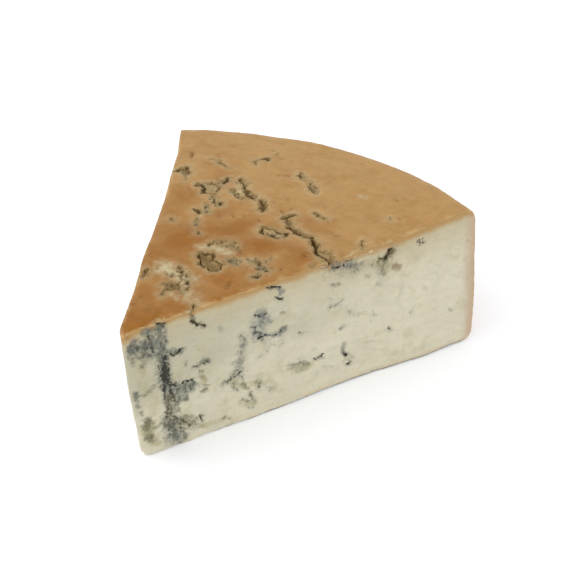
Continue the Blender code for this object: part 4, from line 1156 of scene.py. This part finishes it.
# starts a shader node group with named inputs and outputs
def newGroup(name, inputs, outputs):
    tree = bpy.data.node_groups.new(name, "ShaderNodeTree")
    for label, (kind, value) in inputs.items():
        socket = tree.interface.new_socket(label, in_out="INPUT", socket_type=kind)
        if value is not None:
            socket.default_value = value
    for label, kind in outputs.items():
        tree.interface.new_socket(label, in_out="OUTPUT", socket_type=kind)
    return tree, tree.nodes.new("NodeGroupInput").outputs, tree.nodes.new("NodeGroupOutput").inputs


def noiseTexture(tree, vector, scale, detail=3.0, roughness=0.6, distortion=0.0):
    return addNode(tree, "ShaderNodeTexNoise", None, Vector=vector, Scale=scale, Detail=detail,
                   Roughness=roughness, Distortion=distortion).outputs[0]


# rises smoothly from lowest to highest as the value goes from low to high
def softStep(tree, value, low, high, lowest=0.0, highest=1.0):
    return addNode(tree, "ShaderNodeMapRange", {"interpolation_type": "SMOOTHSTEP"}, Value=value,
                   From_Min=low, From_Max=high, To_Min=lowest, To_Max=highest).outputs[0]


# noise as a swing to both sides of nothing
def swing(tree, value, amount):
    return maths(tree, "MULTIPLY", maths(tree, "SUBTRACT", value, 0.5), amount)


# turns and scales the coordinates: a noise is drawn out along an axis with a scale under one
def stretched(tree, vector, scale, rotation=(0.0, 0.0, 0.0)):
    return addNode(tree, "ShaderNodeMapping", None, Vector=vector, Rotation=rotation,
                   Scale=scale).outputs[0]


# scales a colour's lightness by noise
def mottled(tree, colour, value, lowest, highest):
    light = addNode(tree, "ShaderNodeMapRange", None, Value=value, From_Min=0.3, From_Max=0.7,
                    To_Min=lowest, To_Max=highest).outputs[0]
    shade = addNode(tree, "ShaderNodeCombineColor", None, Red=light, Green=light, Blue=light).outputs[0]
    return mixColour(tree, 1.0, colour, shade, "MULTIPLY")


# mould: a soft cloud with darker threads in it, and near-black ragged cores
def mouldGroup():
    tree, given, result = newGroup("Mould", {
        "Vector": ("NodeSocketVector", None),
        "Core": ("NodeSocketFloat", 0.0),
        "Haze": ("NodeSocketFloat", 0.0),
        "Olive": ("NodeSocketFloat", 0.0),
        "Blue": ("NodeSocketFloat", 0.0),
        "Rind": ("NodeSocketFloat", 0.0),
        "Speck": ("NodeSocketFloat", 0.0),
        "Haze Tint": ("NodeSocketColor", (0.2, 0.2, 0.2, 1)),
        "Olive Tint": ("NodeSocketColor", (0.2, 0.2, 0.1, 1)),
        "Blue Tint": ("NodeSocketColor", (0.1, 0.1, 0.2, 1)),
        "Rind Tint": ("NodeSocketColor", (0.2, 0.15, 0.1, 1)),
        "Dark Tint": ("NodeSocketColor", (0.02, 0.02, 0.02, 1)),
        "Olive Dark Tint": ("NodeSocketColor", (0.04, 0.04, 0.02, 1)),
        "Rind Dark Tint": ("NodeSocketColor", (0.04, 0.03, 0.02, 1)),
    }, {"Mask": "NodeSocketFloat", "Color": "NodeSocketColor"})
    upright = stretched(tree, given["Vector"], (1.0, 1.0, 0.5))
    wide = noiseTexture(tree, given["Vector"], 300.0, 4.0, 0.65, 0.5)
    fine = noiseTexture(tree, given["Vector"], 950.0, 3.0, 0.65)
    veil = noiseTexture(tree, upright, 620.0, 3.0, 0.55, 0.8)
    ridge = maths(tree, "ABSOLUTE", maths(tree, "SUBTRACT", veil, 0.5))
    thread = softStep(tree, ridge, 0.0, 0.085, 1.0, 0.0)
    steep = stretched(tree, given["Vector"], (1.0, 1.0, 0.3))
    streak = softStep(tree, noiseTexture(tree, steep, 760.0, 3.0, 0.6, 0.5), 0.475, 0.58, 0.0, 0.95)
    clump = softStep(tree, noiseTexture(tree, upright, 430.0, 3.0, 0.6, 0.7), 0.4, 0.6, 0.68, 1.0)
    grit = noiseTexture(tree, given["Vector"], 950.0, 2.0, 0.55, 0.3)
    speckGate = maths(tree, "MULTIPLY", given["Speck"], 3.0, clamp=True)
    gritty = maths(tree, "ADD", swing(tree, grit, 4.6), swing(tree, wide, 1.2))
    speckLevel = maths(tree, "ADD", given["Speck"], maths(tree, "MULTIPLY", gritty, speckGate))
    speck = softStep(tree, speckLevel, 0.8, 1.15, 0.0, 0.85)
    hazeGate = maths(tree, "MULTIPLY", given["Haze"], 3.0, clamp=True)
    broken = maths(tree, "ADD", swing(tree, wide, 1.3), swing(tree, fine, 1.1))
    hazeLevel = maths(tree, "ADD", given["Haze"], maths(tree, "MULTIPLY", broken, hazeGate))
    cloud = softStep(tree, hazeLevel, -0.03, 0.93, 0.0, 0.92)
    coreGate = maths(tree, "MULTIPLY", given["Core"], 3.0, clamp=True)
    ragged = maths(tree, "ADD", swing(tree, fine, 2.0), swing(tree, wide, 1.2))
    coreLevel = maths(tree, "ADD", given["Core"], maths(tree, "MULTIPLY", ragged, coreGate))
    core = softStep(tree, coreLevel, 0.35, 0.95)
    thinned = maths(tree, "MULTIPLY", thread, softStep(tree, wide, 0.35, 0.62, 0.2, 0.85))
    threads = maths(tree, "MULTIPLY", maths(tree, "MAXIMUM", thinned, streak), cloud)
    shade = maths(tree, "MAXIMUM", maths(tree, "MAXIMUM", core, threads), speck)
    tint = mixColour(tree, given["Rind"], given["Haze Tint"], given["Rind Tint"])
    tint = mixColour(tree, given["Olive"], tint, given["Olive Tint"])
    tint = mixColour(tree, given["Blue"], tint, given["Blue Tint"])
    tint = mottled(tree, tint, fine, 0.86, 1.2)
    dark = mixColour(tree, given["Rind"], given["Dark Tint"], given["Rind Dark Tint"])
    dark = mixColour(tree, given["Olive"], dark, given["Olive Dark Tint"])
    clumped = maths(tree, "MAXIMUM", maths(tree, "MULTIPLY", cloud, clump), threads)
    tree.links.new(maths(tree, "MAXIMUM", maths(tree, "MAXIMUM", core, clumped), speck), result["Mask"])
    tree.links.new(mixColour(tree, shade, tint, dark), result["Color"])
    return tree


# breaks the edge of a soft patch up
def blotchGroup():
    tree, given, result = newGroup("Blotch", {
        "Vector": ("NodeSocketVector", None),
        "Amount": ("NodeSocketFloat", 0.0),
        "Scale": ("NodeSocketFloat", 700.0),
        "Break Up": ("NodeSocketFloat", 0.5),
    }, {"Mask": "NodeSocketFloat"})
    grain = noiseTexture(tree, given["Vector"], given["Scale"])
    offset = maths(tree, "MULTIPLY", maths(tree, "SUBTRACT", grain, 0.5), given["Break Up"])
    gate = maths(tree, "MULTIPLY", given["Amount"], 4.0, clamp=True)
    total = maths(tree, "ADD", given["Amount"], maths(tree, "MULTIPLY", offset, gate))
    tree.links.new(softStep(tree, total, 0.1, 0.9), result["Mask"])
    return tree


# the ragged line where the rind ends, and a broken pale line along an arris: a painted highlight, partly
# crumbs
def arrisGroup():
    tree, given, result = newGroup("Arris", {
        "Vector": ("NodeSocketVector", None),
        "Rind": ("NodeSocketFloat", 1.0),
        "Crest": ("NodeSocketFloat", 0.0),
    }, {"Rind": "NodeSocketFloat", "Line": "NodeSocketFloat"})
    wide = noiseTexture(tree, given["Vector"], 260.0, 3.0, 0.6, 0.3)
    fine = noiseTexture(tree, given["Vector"], 1100.0, 3.0, 0.6)
    ragged = maths(tree, "ADD", swing(tree, wide, 0.32), swing(tree, fine, 0.14))
    gate = softStep(tree, given["Rind"], 0.05, 0.25)
    level = maths(tree, "ADD", given["Rind"], maths(tree, "MULTIPLY", ragged, gate))
    tree.links.new(softStep(tree, level, 0.47, 0.53), result["Rind"])
    long = noiseTexture(tree, given["Vector"], 90.0, 3.0)
    broken = maths(tree, "MULTIPLY", softStep(tree, long, 0.42, 0.6), softStep(tree, wide, 0.36, 0.6))
    tree.links.new(maths(tree, "MULTIPLY", given["Crest"], broken), result["Line"])
    return tree


# the rind: tan, deep orange by its tone, mottled, and paler where asked
def rindColourGroup():
    tree, given, result = newGroup("Rind Colour", {
        "Vector": ("NodeSocketVector", None),
        "Tone": ("NodeSocketFloat", 0.0),
        "Pale": ("NodeSocketFloat", 0.0),
        "Tan": ("NodeSocketColor", (0.5, 0.3, 0.15, 1)),
        "Deep": ("NodeSocketColor", (0.4, 0.16, 0.05, 1)),
        "Pale Tint": ("NodeSocketColor", (0.5, 0.4, 0.2, 1)),
        "Pit Tint": ("NodeSocketColor", (0.2, 0.1, 0.05, 1)),
        "Pits": ("NodeSocketFloat", 0.5),
    }, {"Color": "NodeSocketColor"})
    wide = noiseTexture(tree, given["Vector"], 110.0, 4.0)
    fine = noiseTexture(tree, given["Vector"], 520.0, 3.0, 0.65)
    brushed = stretched(tree, given["Vector"], (0.35, 1.0, 1.0), (0.0, 0.0, 0.5))
    streak = noiseTexture(tree, brushed, 260.0, 4.0, 0.55, 0.4)
    tone = maths(tree, "ADD", given["Tone"], swing(tree, wide, 1.3), clamp=True)
    colour = mixColour(tree, tone, given["Tan"], given["Deep"])
    colour = mottled(tree, colour, fine, 0.93, 1.05)
    colour = mottled(tree, colour, streak, 0.935, 1.06)
    cells = addNode(tree, "ShaderNodeTexVoronoi", None, Vector=given["Vector"], Scale=150.0)
    chance = addNode(tree, "ShaderNodeSeparateColor", None, Color=cells.outputs["Color"]).outputs[0]
    chosen = softStep(tree, chance, 0.62, 0.95)
    away = maths(tree, "ADD", cells.outputs["Distance"], swing(tree, fine, 0.25))
    spot = softStep(tree, away, 0.06, 0.17, 1.0, 0.0)
    pit = maths(tree, "MULTIPLY", maths(tree, "MULTIPLY", spot, chosen), given["Pits"])
    colour = mixColour(tree, pit, colour, given["Pit Tint"])
    pale = maths(tree, "MULTIPLY", given["Pale"], softStep(tree, fine, 0.3, 0.6, 0.45, 1.0))
    colour = mixColour(tree, pale, colour, given["Pale Tint"])
    tree.links.new(colour, result["Color"])
    return tree


# the paste: cream, cooler towards the tip, warmer below the rind, and the rind's cut edge
def pasteColourGroup():
    tree, given, result = newGroup("Paste Colour", {
        "Vector": ("NodeSocketVector", None),
        "Cool": ("NodeSocketFloat", 0.0),
        "Warm": ("NodeSocketFloat", 0.0),
        "Section": ("NodeSocketFloat", 0.0),
        "Rim": ("NodeSocketFloat", 0.0),
        "Cream": ("NodeSocketColor", (0.7, 0.65, 0.5, 1)),
        "Cool Tint": ("NodeSocketColor", (0.6, 0.6, 0.5, 1)),
        "Warm Tint": ("NodeSocketColor", (0.6, 0.5, 0.4, 1)),
        "Section Tint": ("NodeSocketColor", (0.6, 0.4, 0.2, 1)),
        "Rim Tint": ("NodeSocketColor", (0.6, 0.45, 0.33, 1)),
        "Olive Tint": ("NodeSocketColor", (0.5, 0.5, 0.35, 1)),
        "Knife": ("NodeSocketFloat", 0.5),
        "Scratch": ("NodeSocketFloat", 0.0),
    }, {"Color": "NodeSocketColor"})
    wide = noiseTexture(tree, given["Vector"], 60.0, 5.0)
    fine = noiseTexture(tree, given["Vector"], 420.0, 4.0, 0.7)
    patchy = noiseTexture(tree, given["Vector"], 150.0, 4.0, 0.6, 0.4)
    cool = maths(tree, "ADD", given["Cool"], swing(tree, wide, 1.3), clamp=True)
    colour = mixColour(tree, cool, given["Cream"], given["Cool Tint"])
    colour = mixColour(tree, softStep(tree, patchy, 0.5, 0.75, 0.0, 0.6), colour, given["Olive Tint"])
    colour = mixColour(tree, given["Warm"], colour, given["Warm Tint"])
    colour = mottled(tree, colour, fine, 0.95, 1.04)
    colour = mottled(tree, colour, given["Knife"], 0.97, 1.025)
    colour = mixColour(tree, maths(tree, "MULTIPLY", given["Scratch"], 0.3), colour, given["Cool Tint"])
    colour = mixColour(tree, given["Rim"], colour, given["Rim Tint"])
    colour = mixColour(tree, given["Section"], colour, given["Section Tint"])
    tree.links.new(colour, result["Color"])
    return tree


# the fine relief of the surface, as a height
def grainGroup():
    tree, given, result = newGroup("Fine Grain", {
        "Vector": ("NodeSocketVector", None),
        "Scale": ("NodeSocketFloat", 900.0),
        "Knife": ("NodeSocketFloat", 0.5),
        "Knife Share": ("NodeSocketFloat", 0.5),
    }, {"Height": "NodeSocketFloat"})
    grain = noiseTexture(tree, given["Vector"], given["Scale"], 4.0)
    lines = maths(tree, "MULTIPLY", given["Knife"], given["Knife Share"])
    tree.links.new(maths(tree, "ADD", grain, lines), result["Height"])
    return tree


# what a knife leaves on both cuts: long faint lines that run from the tip to the rim
def knifeGroup():
    tree, given, result = newGroup("Knife Lines", {
        "Vector": ("NodeSocketVector", None),
        "Axis Shift": ("NodeSocketVector", (0, 0, 0)),
    }, {"Value": "NodeSocketFloat", "Scratch": "NodeSocketFloat"})
    moved = addNode(tree, "ShaderNodeVectorMath", {"operation": "ADD"}, i0=given["Vector"],
                    i1=given["Axis Shift"]).outputs[0]
    parts = addNode(tree, "ShaderNodeSeparateXYZ", None, Vector=moved)
    folded = addNode(tree, "ShaderNodeCombineXYZ", None, X=maths(tree, "ABSOLUTE", parts.outputs[0]),
                     Y=parts.outputs[1], Z=parts.outputs[2]).outputs[0]
    turned = stretched(tree, folded, (1.0, 1.0, 1.0), (0.06, 0.0, half))
    long = stretched(tree, turned, (1.0, 0.035, 1.0))
    tree.links.new(noiseTexture(tree, long, 520.0, 2.0, 0.5, 0.2), result["Value"])
    slanted = stretched(tree, turned, (1.0, 1.0, 1.0), (0.4, 0.0, 0.0))
    thin = stretched(tree, slanted, (1.0, 0.03, 1.0))
    lines = softStep(tree, noiseTexture(tree, thin, 640.0, 2.0, 0.5, 0.1), 0.58, 0.68)
    patches = softStep(tree, noiseTexture(tree, turned, 55.0, 2.0), 0.5, 0.6)
    tree.links.new(maths(tree, "MULTIPLY", lines, patches), result["Scratch"])
    return tree


# a group's placed node, with its own values
def placeGroup(tree, group, **inputs):
    return addNode(tree, "ShaderNodeGroup", {"node_tree": group}, **inputs)


mould = mouldGroup()
arris = arrisGroup()
blotch = blotchGroup()
rindColour = rindColourGroup()
pasteColour = pasteColourGroup()
fineGrain = grainGroup()
knifeLines = knifeGroup()

# the cheese's tones, as they look in daylight, and how it takes the light
cheese = {
    "tan": srgb(180, 140, 85),
    "deep": srgb(152, 99, 30),
    "paleRind": srgb(198, 187, 149),
    "cream": srgb(212, 205, 181),
    "cool": srgb(186, 180, 155),
    "pasteOlive": srgb(182, 175, 142),
    "warm": srgb(190, 176, 142),
    "section": srgb(176, 138, 84),
    "rim": srgb(190, 166, 138),
    "bare": srgb(196, 176, 132),
    "brown": srgb(116, 78, 38),
    "crumb": srgb(218, 203, 168),
    # colour and share of the painted highlight along the arrises and over the foot, partly crumbs
    "line": srgb(216, 188, 138),
    "highlightShare": 0.55,
    # colour of the painted contact shadow at the foot, partly the bottom rind's edge
    "foot": srgb(84, 76, 62),
    "olive": srgb(106, 103, 66),
    "haze": srgb(98, 105, 99),
    "rindMould": srgb(122, 103, 62),
    "blue": srgb(82, 97, 114),
    "grey": srgb(106, 87, 55),
    "stain": srgb(166, 158, 114),
    "rindStain": srgb(150, 122, 70),
    "dark": srgb(30, 32, 27),
    "rindDark": srgb(92, 66, 24),
    "oliveDark": srgb(60, 54, 28),
    "mouldShare": 0.94,
    "brownShare": 0.7,
    "stainShare": 0.6,
    "roughness": 0.45,
    "specular": 0.2,
    "bump": 0.00014,
    "bumpStrength": 0.7,
    "grain": 900.0,
    "pits": 0.5,
    "knifeShare": 0.8,
    "translucency": 0.12,
    "translucencyDepth": 0.004,
    "translucencyRadius": (1.0, 0.7, 0.4),
}


def cheeseMaterial():
    finish = bpy.data.materials.new("blueCheese")
    finish.use_nodes = True
    tree = finish.node_tree
    shader = tree.nodes["Principled BSDF"]
    vector = tree.nodes.new("ShaderNodeTexCoord").outputs["Object"]

    def field(name):
        node = tree.nodes.new("ShaderNodeAttribute")
        node.attribute_name = name
        return node.outputs["Fac"]

    def patch(name, scale, breakUp):
        return placeGroup(tree, blotch, Vector=vector, Amount=field(name), Scale=scale,
                          Break_Up=breakUp).outputs[0]

    def share(mask, amount):
        return maths(tree, "MULTIPLY", mask, amount)

    edge = placeGroup(tree, arris, Vector=vector, Rind=field("rind"), Crest=field("crest"))
    onRind = edge.outputs["Rind"]
    blade = placeGroup(tree, knifeLines, Vector=vector, Axis_Shift=(*axisShift, 0))
    knife = blade.outputs["Value"]
    rind = placeGroup(
        tree, rindColour, Vector=vector, Tone=field("tone"), Pale=field("pale"), Tan=cheese["tan"],
        Deep=cheese["deep"], Pale_Tint=cheese["paleRind"], Pit_Tint=cheese["brown"], Pits=cheese["pits"],
    ).outputs[0]
    paste = placeGroup(
        tree, pasteColour, Vector=vector, Cool=field("cool"), Warm=field("warm"),
        Section=field("section"), Rim=field("rim"),
        Cream=cheese["cream"], Cool_Tint=cheese["cool"], Warm_Tint=cheese["warm"],
        Section_Tint=cheese["section"], Rim_Tint=cheese["rim"], Olive_Tint=cheese["pasteOlive"],
        Knife=knife, Scratch=blade.outputs["Scratch"],
    ).outputs[0]
    colour = mixColour(tree, onRind, paste, rind)
    # painted highlight along the arrises and over the foot, partly crumbs
    colour = mixColour(tree, share(edge.outputs["Line"], cheese["highlightShare"]), colour, cheese["line"])
    # painted contact shadow along the foot of each cut, partly the bottom rind's edge
    colour = mixColour(tree, patch("foot", 500.0, 1.1), colour, cheese["foot"])
    colour = mixColour(tree, patch("bare", 900.0, 1.2), colour, cheese["bare"])
    brown = share(patch("brown", 700.0, 0.9), cheese["brownShare"])
    colour = mixColour(tree, brown, colour, cheese["brown"])
    colour = mixColour(tree, patch("grey", 600.0, 0.5), colour, cheese["grey"])
    stained = mixColour(tree, onRind, cheese["stain"], cheese["rindStain"])
    colour = mixColour(tree, share(patch("stain", 330.0, 1.4), cheese["stainShare"]), colour, stained)
    growth = placeGroup(
        tree, mould, Vector=vector, Core=field("core"), Haze=field("haze"), Olive=field("olive"),
        Blue=field("blue"), Speck=field("speck"), Rind=onRind, Haze_Tint=cheese["haze"],
        Olive_Tint=cheese["olive"], Blue_Tint=cheese["blue"], Rind_Tint=cheese["rindMould"],
        Dark_Tint=cheese["dark"], Rind_Dark_Tint=cheese["rindDark"], Olive_Dark_Tint=cheese["oliveDark"],
    )
    grown = share(growth.outputs["Mask"], cheese["mouldShare"])
    colour = mixColour(tree, grown, colour, growth.outputs["Color"])
    colour = mixColour(tree, patch("crumb", 1200.0, 0.8), colour, cheese["crumb"])
    tree.links.new(colour, shader.inputs["Base Color"])
    onPaste = maths(tree, "SUBTRACT", 1.0, onRind)
    height = placeGroup(tree, fineGrain, Vector=vector, Scale=cheese["grain"], Knife=knife,
                        Knife_Share=share(onPaste, cheese["knifeShare"])).outputs[0]
    bump = addNode(tree, "ShaderNodeBump", None, Strength=cheese["bumpStrength"], Distance=cheese["bump"],
                   Height=height)
    tree.links.new(bump.outputs[0], shader.inputs["Normal"])
    shader.inputs["Roughness"].default_value = cheese["roughness"]
    shader.inputs["Specular IOR Level"].default_value = cheese["specular"]
    shader.inputs["Metallic"].default_value = 0
    shader.inputs["Subsurface Weight"].default_value = cheese["translucency"]
    shader.inputs["Subsurface Radius"].default_value = cheese["translucencyRadius"]
    shader.inputs["Subsurface Scale"].default_value = cheese["translucencyDepth"]
    return finish


wedge.data.materials.append(cheeseMaterial())
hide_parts("cheese_wedge")
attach(wedge, "root")
print("materials done")


# floor, light and camera
studio = {
    "floorSize": 4.0,
    "floorTone": (0.92, 0.94, 0.97),
    "floorGlow": 0.19,
    "floorRoughness": 0.9,
    "skyTone": (1.0, 1.0, 1.0, 1),
    "skyStrength": 0.95,
    "keyPower": 3.0,
    "keySize": 0.8,
    "keyPlace": (-0.7, -0.5, 1.1),
}


def makeFloor():
    mesh = bpy.data.meshes.new("floor")
    reach = studio["floorSize"] / 2
    corners = [(-reach, -reach, 0), (reach, -reach, 0), (reach, reach, 0), (-reach, reach, 0)]
    mesh.from_pydata(corners, [], [(0, 1, 2, 3)])
    floor = bpy.data.objects.new("floor", mesh)
    bpy.context.scene.collection.objects.link(floor)
    finish = bpy.data.materials.new("paleFloor")
    finish.use_nodes = True
    shader = finish.node_tree.nodes["Principled BSDF"]
    shader.inputs["Base Color"].default_value = (*studio["floorTone"], 1)
    shader.inputs["Roughness"].default_value = studio["floorRoughness"]
    shader.inputs["Specular IOR Level"].default_value = 0.0
    shader.inputs["Emission Color"].default_value = (1, 1, 1, 1)
    shader.inputs["Emission Strength"].default_value = studio["floorGlow"]
    mesh.materials.append(finish)


def makeLights():
    world = bpy.data.worlds.new("studio")
    world.use_nodes = True
    sky = world.node_tree.nodes["Background"]
    sky.inputs[0].default_value = studio["skyTone"]
    sky.inputs[1].default_value = studio["skyStrength"]
    bpy.context.scene.world = world
    lamp = bpy.data.lights.new("key", "AREA")
    lamp.energy = studio["keyPower"]
    lamp.size = studio["keySize"]
    key = bpy.data.objects.new("key", lamp)
    key.location = studio["keyPlace"]
    key.rotation_euler = (-Vector(studio["keyPlace"])).to_track_quat("-Z", "Y").to_euler()
    bpy.context.scene.collection.objects.link(key)


# the camera: turn, rise and tilt in radians, distance and target in metres, lens in millimetres
view = {
    "turn": 0.60426,
    "rise": 0.64848,
    "tilt": -0.05396,
    "distance": 0.375,
    "lens": 58.56,
    "sensor": 36,
    "target": (-0.00831, 0.03615, 0.0),
}


def makeCamera():
    turn, rise, tilt = view["turn"], view["rise"], view["tilt"]
    back = Vector((math.sin(turn) * math.cos(rise), -math.cos(turn) * math.cos(rise), math.sin(rise)))
    side = (-back).cross(Vector((0, 0, 1))).normalized()
    up = side.cross(-back)
    sideTilted = side * math.cos(tilt) + up * math.sin(tilt)
    upTilted = up * math.cos(tilt) - side * math.sin(tilt)
    lens = bpy.data.cameras.new("camera")
    lens.lens = view["lens"]
    lens.sensor_width = view["sensor"]
    camera = bpy.data.objects.new("camera", lens)
    place = Vector(view["target"]) + back * view["distance"]
    turned = Matrix((sideTilted, upTilted, back)).transposed().to_4x4()
    camera.matrix_world = Matrix.Translation(place) @ turned
    bpy.context.scene.collection.objects.link(camera)
    bpy.context.scene.camera = camera


makeFloor()
makeLights()
makeCamera()
bpy.context.scene.view_settings.view_transform = "Standard"
print("stage done")
